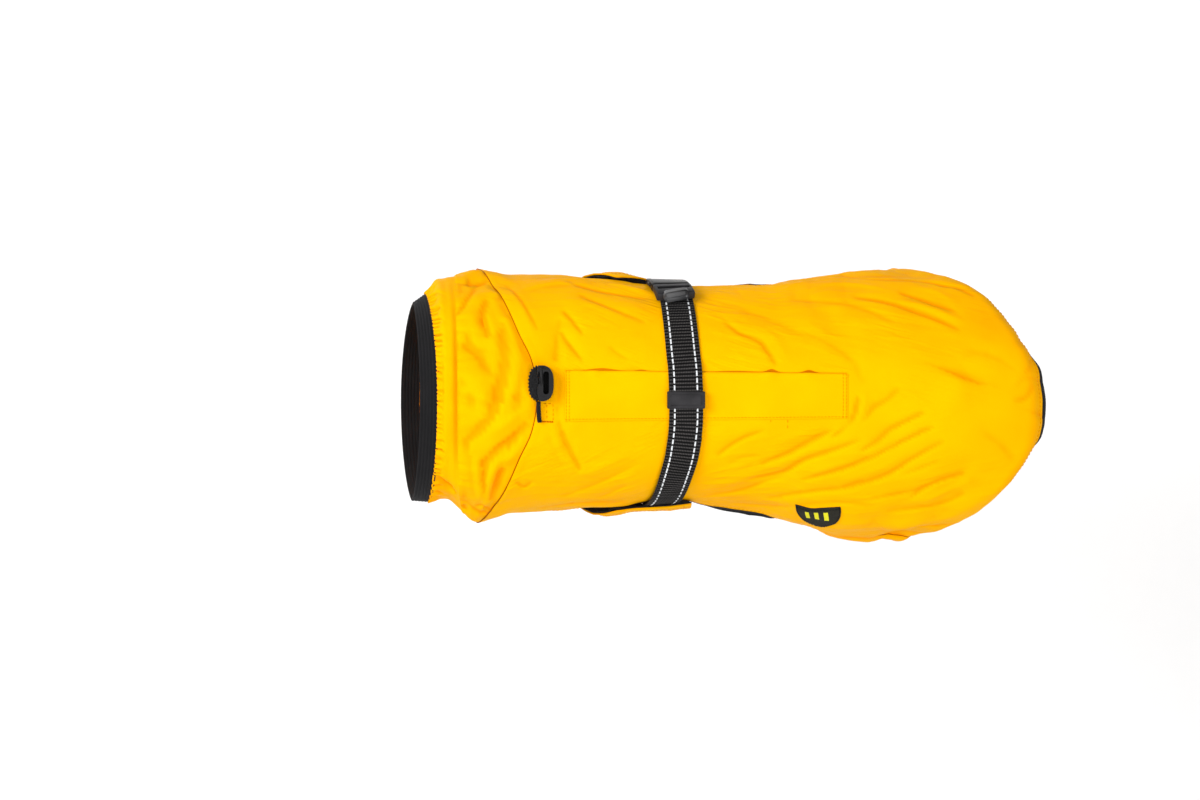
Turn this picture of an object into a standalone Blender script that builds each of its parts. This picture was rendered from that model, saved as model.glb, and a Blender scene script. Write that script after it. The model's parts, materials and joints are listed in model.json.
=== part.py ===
"""A dog's raincoat in the shape that it has when it is worn, with no wearer in it.

All sizes are in millimetres and turn into metres where a mesh is made. The coat faces -X, its spine runs along
+X, and +Y is the wearer's right side. The origin is on the inner face of the back panel, over the withers.

The cloth pieces are open surfaces, each worked out from a short table of sections, and Solidify gives them
their wall. Two ways of naming a point round the body are used:
    turn   degrees from the spine, + to the right, for the back panel, the collar and the belt
    swing  degrees from the keel under the belly, + to the right, for the belly panel
"""

import math

import bmesh
import bpy
from mathutils import Vector

MM = 0.001
COLLECTION = "dog_raincoat"

# walls and seams
CLOTH = 1.2
LINING = 0.8
GAP = 0.3
ARC = 1.4  # millimetres of cloth to a degree of turn, for distances across the body

# back panel and its binding
BACK_SECTIONS = 37
SIDE_LINES = 12  # on each side of the spine
BINDING_WIDE = 3.4
BINDING_THICK = 2.0
BINDING_GAP = 0.4
SEWN_SECTIONS = 3  # of the back panel's sections, sewn to the belly panel below the shoulder seam

# collar, casing and neck band
BAND_FRONT, BAND_BACK, CREASE = range(3)
BAND_WALL = 1.6
BAND_RIBS = 4
RIB_HEIGHT = 0.5
BAND_STEPS = 48
GATHERS = 100
GATHER_HEIGHT = 0.6  # from its middle, up and down
CASING_GAP = 1.1
CASING_LIFT = 1.3
CREASE_GAP = 1.2  # between the casing and the collar, whose walls lean towards each other
COLLAR_STEPS = 52
COLLAR_ROWS = 7
COLLAR_PUFF = 3.4
TUCK = 5.0  # how far the collar runs on under the panels
TUCK_DEPTH = 1.3
COLLAR_LENGTH = 45.0  # on the spine

# belly panel and its lining
BELLY_SECTIONS = 28
BELLY_LINES = 16
LINING_FROM = 13  # the belly panel's section where its lining begins

# harness flap
FLAP_START = -24.5
FLAP_END = 173.5
FLAP_WIDE_START = 35.5
FLAP_WIDE_END = 31.5
FLAP_SECTIONS = 24
FLAP_LINES = 4
FLAP_LIFT = 0.35

# belt
BELT_WIDE = 24.0
BELT_THICK = 1.6
BELT_LIFT = 0.3  # over the back panel's outer face
FLAP_STEP = 1.6  # how much the belt rises over the flap
RETURN_THICK = 1.0
RETURN_LIFT = 0.6
BELT_STEPS = 52
KEEPER_TURN = -2.0
KEEPER_STEP = 1.2  # how much the belt rises over the keeper's back wall
BELT_LEFT_END = -100
BELT_RIGHT_END = 61.5
RETURN_SHIFT = 1.0  # towards the head
RETURN_TOP = -21
RETURN_END = -89
KEEPER_WIDE = 26.6
KEEPER_LONG = 11.6
KEEPER_WALL = 1.3
KEEPER_BACK = 0.9

# buckle
BUCKLE_X = 50.5
BUCKLE_TURN = 69.7
BUCKLE_TILT = 10.0  # degrees that its lower end leans towards the head
BUCKLE_WIDE = 29.0
BUCKLE_THICK = 6.7
BUCKLE_TAPER = 0.014  # share of the thickness lost with each millimetre down the side
BUCKLE_LIFT = 0.4
BAR_END = -21.0
SLOT_START, SLOT_END = -13.6, -9.8
SOCKET_START, SOCKET_END = -4.0, 21.0
LOOP_START, LOOP_END = 13.4, 17.4  # the socket's slot for the tab
LOOP_BAR_LOW, LOOP_BAR_HIGH = 2.6, 4.6  # the bar that the tab goes round
BAR_LOW = 1.4  # clear of the belt under it
BELT_ROOM = 12.4  # half the width of the belt's slot
TAB_THICK = 1.1
TAB_WIDE = 22.0
TAB_ROOM = 11.4  # half the width of the tab's slot

# cord lock and cord
LOCK_X, LOCK_Y = -41.0, 8.8
LOCK_WIDE, LOCK_LONG, LOCK_THICK = 17.5, 25.0, 7.5
LOCK_LIFT = 1.0
LOCK_TEETH = 22
CORD_RADIUS = 1.6
# Heights of the lock, each with the share of its outline.
LOCK_LEVELS = ((0, 0.9), (1.2, 1.0), (LOCK_THICK - 1.6, 1.0), (LOCK_THICK - 0.5, 0.93), (LOCK_THICK, 0.82))
LOCK_SPLIT = 112  # degrees from +X where the slide's part of the oval begins


def table(columns, *rows):
    """Rows of numbers as named columns."""
    return {name: [row[i] for row in rows] for i, name in enumerate(columns.split())}


# How far the shoulder seam lies ahead of its top point, by turn.
SEAM = table(
    "turn  ahead",
    (0,    0),
    (14,   3),
    (26,   11),
    (49,   25),
    (71,   39),
    (90,   48),
    (125,  53),
    (180,  56),
)

# The back panel, a row for each section. x, y and z place the spine; right and left are the half widths and
# rise the depth at a quarter turn; hem_right and hem_left are the turns at the hem; fore is how much of the
# seam's forward sweep the section has, and aft how far its sides sweep forward by themselves.
BACK = table(
    "x     y      z      right   left   rise  hem_right  hem_left  fore   aft",
    (-44,  0,     -0.6,  89.4,   90.5,  78,   97,        97,       1.00,  0),
    (-25,  0,     0,     88.4,   85.4,  76,   97,        97,       0.95,  0),
    (0,    0,     0,     88.4,   83.6,  75,   96,        96,       0.80,  0),
    (30,   0,     0,     84.8,   80.7,  74,   94,        94,       0.50,  0),
    (60,   0,     -1.5,  79.6,   74.8,  72,   92,        92,       0.20,  0),
    (95,   0,     -2,    80.4,   78.4,  72,   88,        88,       0.05,  3),
    (130,  -1,    -2,    82,     82,    74,   88,        87,       0,     10),
    (165,  -3,    -1,    88.6,   88.8,  76,   104,       104,      0,     20),
    (205,  -5,    0,     95.5,   96.2,  78,   114,       112,      0,     32),
    (245,  -6,    -1,    99,     96.8,  79,   116,       114,      0,     48),
    (275,  -6.5,  -4,    99.8,   93.6,  78,   112,       111,      0,     64),
    (298,  -7,    -10,   102.5,  95.5,  76,   106,       106,      0,     79),
    (312,  -7,    -18,   103,    96.5,  75,   101,       101,      0,     89),
    (317,  -7,    -26,   102,    96,    74,   97,        97,       0,     93),
)

# How much of a section's aft sweep it has at each turn.
SWEEP = table(
    "turn   share",
    (0,     0),
    (12,    0.03),
    (31,    0.20),
    (49,    0.40),
    (61.5,  0.59),
    (69,    0.74),
    (80,    0.92),
    (90,    1.00),
    (120,   1.10),
)
BACK_START, BACK_END = BACK["x"][0], BACK["x"][-1]

# The largest folds of the back panel, from one end to the other. Heights over 0 are ridges, under 0 troughs.
BACK_FOLDS = table(
    "x1    turn1  x2    turn2  width  height",
    (-28,  36,    -28,  -38,   7,     -1.6),
    (-70,  58,    -41,  27,    8,     2.4),
    (-94,  95,    -74,  64,    9,     4.2),
    (-96,  -96,   -70,  -66,   8,     2.5),
    (-8,   64,    44,   60,    6,     -1.8),
    (138,  70,    184,  16,    7,     -1.8),
    (178,  44,    258,  28,    7,     -1.6),
    (170,  64,    250,  44,    7,     -1.6),
    (165,  -20,   105,  -40,   7,     -1.5),
    (92,   -56,   238,  -24,   8,     -1.8),
    (205,  -48,   262,  -34,   7,     -1.6),
    (165,  -79,   275,  -72,   7,     -2.0),
    (165,  -94,   252,  -86,   13,    5.0),
    (68,   -90,   150,  -88,   12,    3.0),
    (-34,  98,    56,   96,    8,     -3.0),
    (-30,  -98,   60,   -96,   7,     -2.0),
)

# Rings round the neck: x at the top, at each side and at the bottom, then the middle and half width across,
# and the top and bottom heights.
NECK = table(
    "top    right  left   bottom  middle  half   high  low",
    (-126,  -137,  -138,  -152,   -4.0,   72.0,  1.5,  -117),
    (-112,  -127,  -124,  -138,   -1.0,   74.5,  3.0,  -119),
    (-101,  -108,  -102,  -122,   1.9,    86.0,  4.0,  -127),
)

# How far the casing stands out of the straight line from the elastic to the crease, on each side and between.
CASING_PUFF = table(
    "share  right  middle  left",
    (0,     1.2,   0.2,    0.0),
    (0.33,  5.0,   2.6,    -5.0),
    (0.67,  1.5,   2.4,    -6.5),
    (1,     0,     0,      0),
)

# Folds of the collar, in millimetres back from the casing and degrees of turn.
COLLAR_FOLDS = table(
    "from1  turn1  from2  turn2  width  height",
    (4.5,   52,    38,    72,    7,     -2.2),
    (20,    46,    22,    16,    6,     -2.0),
    (32,    30,    36,    -22,   7,     2.0),
    (13.5,  -12,   25,    -60,   7,     -2.2),
    (27,    -34,   34,    -74,   6,     2.4),
    (7,     -48,   13.5,  -100,  7,     -2.0),
    (22,    110,   27,    160,   8,     -2.0),
    (22,    -112,  27,    -158,  8,     -2.0),
)

# The belly panel, a row for each section. keel is the section's x under the belly and lean how far its sides
# run back from that at a quarter turn; edge_right and edge_left are the swings of its side edges; right and
# left are the half widths, middle the height of the widest point and depth from there to the keel.
BELLY = table(
    "keel   lean  edge_right  edge_left  right  left   middle  depth",
    (-100,  6,    80,         80,        90,    90,    -78,    58),
    (-92,   7,    77,         77,        90,    89.5,  -78,    59),
    (-84,   8,    64,         64,        89,    88,    -78,    60),
    (-76,   7,    49,         49,        88,    87,    -78,    61),
    (-66,   5,    36,         36,        86,    86,    -78,    62),
    (-54,   4,    29,         29,        86,    86,    -78,    62),
    (-44,   5,    28,         28,        87,    87,    -78,    62),
    (-38,   8,    34,         34,        88,    88,    -77,    62),
    (-33,   10,   48,         48,        88,    86,    -77,    61),
    (-29,   12,   63,         66,        88.5,  85.6,  -77,    61),
    (-25,   12,   73,         72,        88.8,  85.6,  -76,    61),
    (-20,   10,   80,         78,        89.4,  85.8,  -76,    60),
    (-11,   7,    89,         86,        89.8,  86,    -75,    60),
    (5,     4,    106,        104,       90.0,  86.2,  -75,    60),
    (25,    1,    99,         104,       87.4,  84.4,  -74,    60),
    (45,    0,    88,         106,       85,    83.6,  -74,    59),
    (67,    0,    82,         107,       83,    81.6,  -74,    58),
)
BELLY_END = BELLY["keel"][-1]

BELLY_FOLDS = table(
    "x1    swing1  x2    swing2  width  height",
    (-14,  34,     40,   44,     8,     -1.8),
    (-14,  -36,    36,   -48,    8,     -1.8),
    (-60,  -14,    -20,  12,     7,     -1.6),
)

# The belt's middle line: x by turn, from the right side to the left.
BELT = table(
    "turn   x",
    (-104,  37),
    (-90,   41),
    (-78,   45.6),
    (-47,   53.5),
    (-30,   57.8),
    (-12,   60),
    (8,     59.6),
    (26,    57.8),
    (54,    55),
    (70,    53),
)

# The tab's middle line in the buckle's frame: round the loop bar, then down under the wing.
TAB_ROUTE = table(
    "y      z",
    (24.6,  4.2),
    (22.6,  5.0),
    (20.6,  5.6),
    (18.0,  5.7),
    (16.2,  5.3),
    (15.5,  3.6),
    (16.2,  1.9),
    (18.0,  1.3),
    (22.0,  1.2),
    (26.0,  1.1),
    (30.0,  0.8),
    (34.0,  0.5),
)

# The cord's middle line, from the lock down into the slit beside the flap.
CORD = table(
    "x       y       z",
    (-42.9,  -4.1,   4.7),
    (-42.9,  -8.0,   4.0),
    (-42.8,  -12.0,  2.9),
    (-42.6,  -15.4,  1.9),
    (-42.2,  -18.2,  1.0),
)


# ---------------------------------------------------------------- curves and surfaces


def smooth(keys, values, at):
    """A cubic through the points that never overshoots them, level past both ends."""
    if at <= keys[0]:
        return values[0]
    if at >= keys[-1]:
        return values[-1]
    steps = [(values[i + 1] - values[i]) / (keys[i + 1] - keys[i]) for i in range(len(keys) - 1)]

    def slope(i):
        if i == 0 or i == len(keys) - 1:
            return steps[min(i, len(steps) - 1)]
        before, after = steps[i - 1], steps[i]
        return 0.0 if before * after <= 0 else 2 * before * after / (before + after)

    i = max(n for n in range(len(steps)) if keys[n] <= at)
    width = keys[i + 1] - keys[i]
    t = (at - keys[i]) / width
    return (
        values[i] * (1 + 2 * t) * (1 - t) ** 2
        + slope(i) * width * t * (1 - t) ** 2
        + values[i + 1] * t * t * (3 - 2 * t)
        - slope(i + 1) * width * t * t * (1 - t)
    )


def across(middle, half, turn):
    """y at a turn or swing round an oval."""
    return middle + half * math.sin(math.radians(turn))


def back_base(x, turn):
    """The back panel's inner face before its folds: x is where the section crosses the spine."""
    section = {name: smooth(BACK["x"], BACK[name], x) for name in BACK if name != "x"}
    ahead = section["fore"] * smooth(SEAM["turn"], SEAM["ahead"], abs(turn))
    ahead += section["aft"] * smooth(SWEEP["turn"], SWEEP["share"], abs(turn))
    half = section["right"] if turn > 0 else section["left"]
    return Vector((
        x - ahead,
        across(section["y"], half, turn),
        section["z"] - section["rise"] * (1 - math.cos(math.radians(turn))),
    ))


def fold_height(folds, x, turn):
    """The height of all folds at x and a turn or swing, each fading out towards its ends."""
    total = 0.0
    for x1, turn1, x2, turn2, width, height in zip(*folds.values()):
        run = Vector((x2 - x1, (turn2 - turn1) * ARC))
        here = Vector((x - x1, (turn - turn1) * ARC))
        t = min(1.0, max(0.0, here.dot(run) / run.length_squared))
        away = (here - t * run).length / width
        total += height * math.sqrt(max(0.0, 4 * t * (1 - t))) * math.exp(-away * away)
    return total


def outward(form, u, v, step=0.5):
    """The unit normal of form(u, v), away from the body's middle."""
    along = form(u + step, v) - form(u - step, v)
    around = form(u, v + step) - form(u, v - step)
    normal = along.cross(around).normalized()
    here = form(u, v)
    return normal if normal.dot(Vector((0, here.y, here.z + 65))) > 0 else -normal


def back_point(x, turn, out=0.0):
    """A point of the back panel, out millimetres outside its inner face, folds and all."""
    base = back_base(x, turn)
    return base + outward(back_base, x, turn) * (out + fold_height(BACK_FOLDS, base.x, turn))


def section_at(x, turn):
    """The section of the back panel that passes through the world's x at this turn."""
    low, high = BACK_START - 10.0, BACK_END
    for _ in range(30):
        middle = (low + high) / 2
        if back_base(middle, turn).x < x:
            low = middle
        else:
            high = middle
    return (low + high) / 2


def on_back(x, arc, out):
    """A point out millimetres over the smooth back: x in the world, arc millimetres down the right side."""
    turn = arc / ARC
    station = section_at(x, turn)
    return back_base(station, turn) + outward(back_base, station, turn) * out


# ---------------------------------------------------------------- meshes


def material(name, colour, roughness, metallic=0.0):
    made = bpy.data.materials.new(name)
    made.use_nodes = True
    shader = made.node_tree.nodes["Principled BSDF"]
    shader.inputs["Base Color"].default_value = (*colour, 1)
    shader.inputs["Roughness"].default_value = roughness
    shader.inputs["Metallic"].default_value = metallic
    return made


def new_object(name, mesh, finish):
    made = bpy.data.objects.new(name, mesh)
    bpy.data.collections[COLLECTION].objects.link(made)
    made.data.materials.append(finish)
    return made


def sheet_mesh(name, rows, closed=False):
    """An open surface through rows of points, or a tube where each row is closed."""
    bm = bmesh.new()
    grid = [[bm.verts.new(point * MM) for point in row] for row in rows]
    count = len(rows[0])
    for upper, lower in zip(grid, grid[1:]):
        for i in range(count if closed else count - 1):
            j = (i + 1) % count
            bm.faces.new((upper[i], upper[j], lower[j], lower[i]))
    mesh = bpy.data.meshes.new(name)
    bm.to_mesh(mesh)
    bm.free()
    mesh.shade_smooth()
    return mesh


def cloth(name, rows, finish, wall=CLOTH, closed=False):
    """A sheet with its wall. The rows run head to tail, each from right to left, so its faces point out."""
    made = new_object(name, sheet_mesh(name, rows, closed), finish)
    solidify = made.modifiers.new("wall", "SOLIDIFY")
    solidify.thickness = wall * MM
    solidify.offset = 1.0
    solidify.use_quality_normals = True
    return made


def ribbon(name, centres, finish):
    """A band of closed sections, each a list of points, with its two ends filled."""
    bm = bmesh.new()
    rings = [[bm.verts.new(point * MM) for point in ring] for ring in centres]
    count = len(rings[0])
    for first, second in zip(rings, rings[1:]):
        for i in range(count):
            j = (i + 1) % count
            bm.faces.new((first[i], first[j], second[j], second[i]))
    bm.faces.new(reversed(rings[0]))
    bm.faces.new(rings[-1])
    bmesh.ops.recalc_face_normals(bm, faces=bm.faces)
    mesh = bpy.data.meshes.new(name)
    bm.to_mesh(mesh)
    bm.free()
    return new_object(name, mesh, finish)


def spaced(first, last, count):
    """count + 1 values from first to last."""
    return [first + (last - first) * i / count for i in range(count + 1)]


# ---------------------------------------------------------------- back panel and its binding


def hem_turn(x, side):
    return smooth(BACK["x"], BACK["hem_right" if side > 0 else "hem_left"], x)


def back_turns(x):
    """Turns from the right hem to the left, closest together at the hems."""
    shares = [math.sin(math.radians(90 * i / SIDE_LINES)) ** 0.9 for i in range(SIDE_LINES + 1)]
    right = [hem_turn(x, 1) * share for share in reversed(shares)]
    left = [-hem_turn(x, -1) * share for share in shares[1:]]
    return right + left


def back_sections():
    return spaced(BACK_START, BACK_END, BACK_SECTIONS)


def make_back_panel(yellow):
    rows = [[back_point(x, turn) for turn in back_turns(x)] for x in back_sections()]
    return cloth("back_panel", rows, yellow)


def hem_route():
    """(section, turn) of the panel's own points along the hem: right side, round the tail, left side."""
    side = back_sections()[SEWN_SECTIONS:-1]
    right = [(x, hem_turn(x, 1)) for x in side]
    tail = [(BACK_END, turn) for turn in back_turns(BACK_END)]
    left = [(x, -hem_turn(x, -1)) for x in reversed(side)]
    return right + tail + left


def make_back_binding(black):
    route = hem_route()
    edge = [back_point(x, turn, CLOTH / 2) for x, turn in route]
    rings = []
    for i, (x, turn) in enumerate(route):
        along = (edge[min(i + 1, len(edge) - 1)] - edge[max(i - 1, 0)]).normalized()
        normal = outward(back_base, min(x, BACK_END - 1), turn)
        away = along.cross(normal).normalized()
        inside = back_point(min(x, BACK_END - 4), turn * 0.95, CLOTH / 2) - edge[i]
        if away.dot(inside) > 0:
            away = -away
        normal = along.cross(away).normalized()
        near, far = BINDING_GAP, BINDING_GAP + BINDING_WIDE
        half = BINDING_THICK / 2
        shape = ((near, half), (far - half, half), (far, 0), (far - half, -half), (near, -half))
        rings.append([edge[i] + away * reach + normal * lift for reach, lift in shape])
    return ribbon("back_binding", rings, black)


# ---------------------------------------------------------------- collar, casing and neck band


def neck_ring(ring, turn):
    row = {name: NECK[name][ring] for name in NECK}
    lean = math.cos(math.radians(turn))
    side = row["right"] if turn > 0 else row["left"]
    end = row["top"] if lean > 0 else row["bottom"]
    middle, half = (row["high"] + row["low"]) / 2, (row["high"] - row["low"]) / 2
    return Vector((
        side + (end - side) * abs(lean) ** 1.2,
        across(row["middle"], row["half"], turn),
        middle + half * lean,
    ))


def shoulder_ring(turn, behind=0.0, out=0.0):
    """The shoulder seam all round: the front edge of the back panel, then of the belly panel below it."""
    if abs(turn) <= hem_turn(BACK_START, turn):
        return back_point(BACK_START + behind, turn, out)
    swing = math.copysign(180 - abs(turn), turn)
    return belly_point(BELLY["keel"][0] + behind, swing, out)


def ring_out(turn):
    """Away from the body's middle at this turn, square to its length."""
    return Vector((0, math.sin(math.radians(turn)), math.cos(math.radians(turn))))


def collar_point(share, turn):
    """share runs from 0 at the casing's crease to 1 at the shoulder seam."""
    start = neck_ring(CREASE, turn) + Vector((CREASE_GAP, 0, 0))
    end = shoulder_ring(turn, 0, -TUCK_DEPTH - CLOTH)
    room = min(1.0, (end - start).length / COLLAR_LENGTH)
    puff = COLLAR_PUFF * math.sin(math.pi * share) ** 2
    fade = min(1.0, 6 * share * (1 - share))
    folds = fade * fold_height(COLLAR_FOLDS, share * COLLAR_LENGTH, turn)
    return start.lerp(end, share) + ring_out(turn) * (puff + folds) * room


def around(steps):
    """Turns once round the body, from its right side to its left."""
    return [180 - 360 * (i + 0.5) / steps for i in range(steps)]


def make_collar(yellow):
    """The last row is tucked under the back panel and the belly panel."""
    turns = around(COLLAR_STEPS)
    rows = [[collar_point(share, turn) for turn in turns] for share in spaced(0, 1, COLLAR_ROWS)]
    rows.append([shoulder_ring(turn, TUCK, -TUCK_DEPTH - CLOTH) for turn in turns])
    return cloth("collar", rows, yellow, closed=True)


def casing_point(share, turn, gather):
    """share runs from 0 at the elastic to 1 at the crease; gather is the height of the wave here."""
    start = neck_ring(BAND_BACK, turn) + Vector((CASING_GAP, 0, 0)) + ring_out(turn) * CASING_LIFT
    end = neck_ring(CREASE, turn)
    aside = math.sin(math.radians(turn))
    middle = smooth(CASING_PUFF["share"], CASING_PUFF["middle"], share)
    side = smooth(CASING_PUFF["share"], CASING_PUFF["right" if aside > 0 else "left"], share)
    puff = middle + (side - middle) * aside * aside
    return start.lerp(end, share) + ring_out(turn) * (puff + gather * (1 - share))


def make_neck_casing(yellow):
    """Two lines of points to a gather, one up and one down."""
    turns = around(2 * GATHERS)
    waves = [GATHER_HEIGHT if i % 2 else -GATHER_HEIGHT for i in range(len(turns))]
    rows = []
    for share in CASING_PUFF["share"]:
        rows.append([casing_point(share, turn, wave) for turn, wave in zip(turns, waves)])
    return cloth("neck_casing", rows, yellow, closed=True)


def make_neck_band(black):
    """The elastic: a ring with ribs along its outer face and a plain inner face."""
    bm = bmesh.new()
    rings = []
    for turn in around(BAND_STEPS):
        front, back = neck_ring(BAND_FRONT, turn), neck_ring(BAND_BACK, turn)
        out = ring_out(turn)
        section = []
        for i in range(2 * BAND_RIBS + 1):
            lift = BAND_WALL + (RIB_HEIGHT if i % 2 else 0)
            section.append(front.lerp(back, i / (2 * BAND_RIBS)) + out * lift)
        section += [back.copy(), front.copy()]
        rings.append([bm.verts.new(point * MM) for point in section])
    count = len(rings[0])
    for i, ring in enumerate(rings):
        other = rings[(i + 1) % len(rings)]
        for j in range(count):
            k = (j + 1) % count
            bm.faces.new((ring[j], ring[k], other[k], other[j]))
    bmesh.ops.recalc_face_normals(bm, faces=bm.faces)
    mesh = bpy.data.meshes.new("neck_band")
    bm.to_mesh(mesh)
    bm.free()
    return new_object("neck_band", mesh, black)


# ---------------------------------------------------------------- belly panel and its lining


def belly_base(keel, swing):
    section = {name: smooth(BELLY["keel"], BELLY[name], keel) for name in BELLY if name != "keel"}
    half = section["right"] if swing > 0 else section["left"]
    return Vector((
        keel + section["lean"] * (swing / 90) ** 2,
        across(0, half, swing),
        section["middle"] - section["depth"] * math.cos(math.radians(swing)),
    ))


def belly_point(keel, swing, out=0.0):
    base = belly_base(keel, swing)
    return base + outward(belly_base, keel, swing) * (out + fold_height(BELLY_FOLDS, base.x, swing))


def belly_swings(keel):
    """Swings from the left edge to the right."""
    right = smooth(BELLY["keel"], BELLY["edge_right"], keel)
    left = smooth(BELLY["keel"], BELLY["edge_left"], keel)
    return spaced(-left, right, BELLY_LINES)


def belly_keels():
    """The belly panel's sections, closest together where the wings begin."""
    start = BELLY["keel"][0]
    front = spaced(start, -44, 9)
    wing = spaced(-44, -10, 10)
    return front + wing[1:] + spaced(-10, BELLY_END, BELLY_SECTIONS - 19)[1:]


def make_belly_panel(yellow):
    rows = [[belly_point(keel, swing) for swing in belly_swings(keel)] for keel in belly_keels()]
    return cloth("belly_panel", rows, yellow)


def make_belly_lining(black):
    """The lining has the belly panel's own points, moved in, so the two never touch."""
    rows = []
    for keel in belly_keels()[LINING_FROM:]:
        rows.append([belly_point(keel, swing, -GAP - LINING) for swing in belly_swings(keel)])
    return cloth("belly_lining", rows, black, wall=LINING)


# ---------------------------------------------------------------- harness flap


def make_harness_flap(yellow):
    rows = []
    for i, x in enumerate(spaced(FLAP_START, FLAP_END, FLAP_SECTIONS)):
        wide = FLAP_WIDE_START + (FLAP_WIDE_END - FLAP_WIDE_START) * i / FLAP_SECTIONS
        turns = [math.degrees(math.asin(y / 86)) for y in spaced(wide / 2, -wide / 2, FLAP_LINES)]
        rows.append([back_point(section_at(x, turn), turn, CLOTH + FLAP_LIFT) for turn in turns])
    return cloth("harness_flap", rows, yellow)


# ---------------------------------------------------------------- belt


def belt_centre(turn):
    """The belt's middle line in the flat: x, and arc millimetres down the right side."""
    return Vector((smooth(BELT["turn"], BELT["x"], turn), turn * ARC))


def step(at, middle, sharp):
    """From 0 well below middle to 1 well above it."""
    return 1 / (1 + math.exp((middle - at) * sharp))


def belt_height(turn):
    """Over the back panel's inner face: the belt steps over the flap and over its own return."""
    over_flap = step(-abs(turn), -16.5, 1.4)
    over_return = step(-turn, 14.0, 1.0)
    over_keeper = KEEPER_STEP * step(-abs(turn - KEEPER_TURN), -7.5, 1.4)
    raised = max(FLAP_STEP * over_flap, (RETURN_LIFT + RETURN_THICK) * over_return)
    return CLOTH + BELT_LIFT + raised + over_keeper


def return_height(turn):
    return CLOTH + RETURN_LIFT


def strip(name, turns, wide, thick, height, finish, shift=0.0):
    """A flat strap along the belt's middle line, between two turns."""
    rings = []
    for turn in turns:
        centre = belt_centre(turn)
        run = belt_centre(turn - 1) - belt_centre(turn + 1)
        across = Vector((-run.y, run.x)).normalized()
        low = height(turn)
        ring = []
        for side, up in ((-0.5, 0), (0.5, 0), (0.5, thick), (-0.5, thick)):
            place = centre + across * (side * wide + shift)
            ring.append(on_back(place.x, place.y, low + up))
        rings.append(ring)
    return ribbon(name, rings, finish)


def make_belt(webbing):
    turns = spaced(BELT_RIGHT_END, BELT_LEFT_END, BELT_STEPS)
    return strip("belt", turns, BELT_WIDE, BELT_THICK, belt_height, webbing)


def make_belt_return(webbing):
    turns = spaced(RETURN_TOP, RETURN_END, 28)
    return strip("belt_return", turns, BELT_WIDE - 1, RETURN_THICK, return_height, webbing, RETURN_SHIFT)


def box_mesh(name, low, high, bevel=0.0, segments=2):
    """A box from its low to its high corner, in millimetres, with rounded edges."""
    bm = bmesh.new()
    bmesh.ops.create_cube(bm, size=1.0)
    for vert in bm.verts:
        vert.co = Vector([low[i] + (high[i] - low[i]) * (vert.co[i] + 0.5) for i in range(3)])
    if bevel:
        bmesh.ops.bevel(
            bm, geom=bm.edges, offset=bevel, segments=segments, affect="EDGES", profile=0.5, clamp_overlap=True
        )
    mesh = bpy.data.meshes.new(name)
    bm.to_mesh(mesh)
    bm.free()
    return mesh


def cutter(name, low, high):
    made = bpy.data.objects.new(name, box_mesh(name, low, high))
    bpy.data.collections["cutters"].objects.link(made)
    made.hide_render = True
    made.display_type = "WIRE"
    return made


def boolean(target, other, operation="DIFFERENCE"):
    modifier = target.modifiers.new(other.name, "BOOLEAN")
    modifier.operation = operation
    modifier.solver = "EXACT"
    modifier.object = other


def wrapped(target, place, spacing=4.0):
    """The object's evaluated mesh, cut across every few millimetres and laid on the body by place."""
    graph = bpy.context.evaluated_depsgraph_get()
    made = bpy.data.meshes.new_from_object(target.evaluated_get(graph))
    target.modifiers.clear()
    bm = bmesh.new()
    bm.from_mesh(made)
    lengths = [vert.co.y for vert in bm.verts]
    cuts = int((max(lengths) - min(lengths)) / spacing)
    for i in range(1, cuts):
        at = min(lengths) + (max(lengths) - min(lengths)) * i / cuts
        geometry = list(bm.verts) + list(bm.edges) + list(bm.faces)
        bmesh.ops.bisect_plane(bm, geom=geometry, plane_co=(0, at, 0), plane_no=(0, 1, 0))
    for vert in bm.verts:
        vert.co = place(vert.co) * MM
    bmesh.ops.recalc_face_normals(bm, faces=bm.faces)
    bm.to_mesh(made)
    bm.free()
    target.data = made
    return target


def make_belt_keeper(plastic):
    """A moulded loop round the belt, on the spine."""
    belt_low = belt_height(KEEPER_TURN)
    inside_low, inside_high = belt_low - GAP, belt_low + BELT_THICK + GAP
    low = inside_low - KEEPER_BACK
    centre = belt_centre(KEEPER_TURN)
    half_long, half_wide = KEEPER_LONG / 2, KEEPER_WIDE / 2
    outer = box_mesh(
        "belt_keeper",
        (-half_wide, -half_long, low),
        (half_wide, half_long, inside_high + KEEPER_WALL),
        bevel=0.5,
    )
    made = new_object("belt_keeper", outer, plastic)
    inner = BELT_WIDE / 2 + GAP
    beyond = half_long + 2
    boolean(made, cutter("keeper_mouth", (-inner, -beyond, inside_low), (inner, beyond, inside_high)))
    return wrapped(made, lambda p: on_back(centre.x + p.x, centre.y + p.y, p.z))


# ---------------------------------------------------------------- buckle


def buckle_place(point):
    """From the buckle's own frame (x across, y down the side, z out) to the body's side."""
    tilt = math.radians(BUCKLE_TILT)
    x = BUCKLE_X + point.x * math.cos(tilt) - point.y * math.sin(tilt)
    arc = BUCKLE_TURN * ARC + point.y * math.cos(tilt) + point.x * math.sin(tilt)
    return on_back(x, arc, CLOTH + BUCKLE_LIFT + point.z * (1 - BUCKLE_TAPER * point.y))


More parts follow.
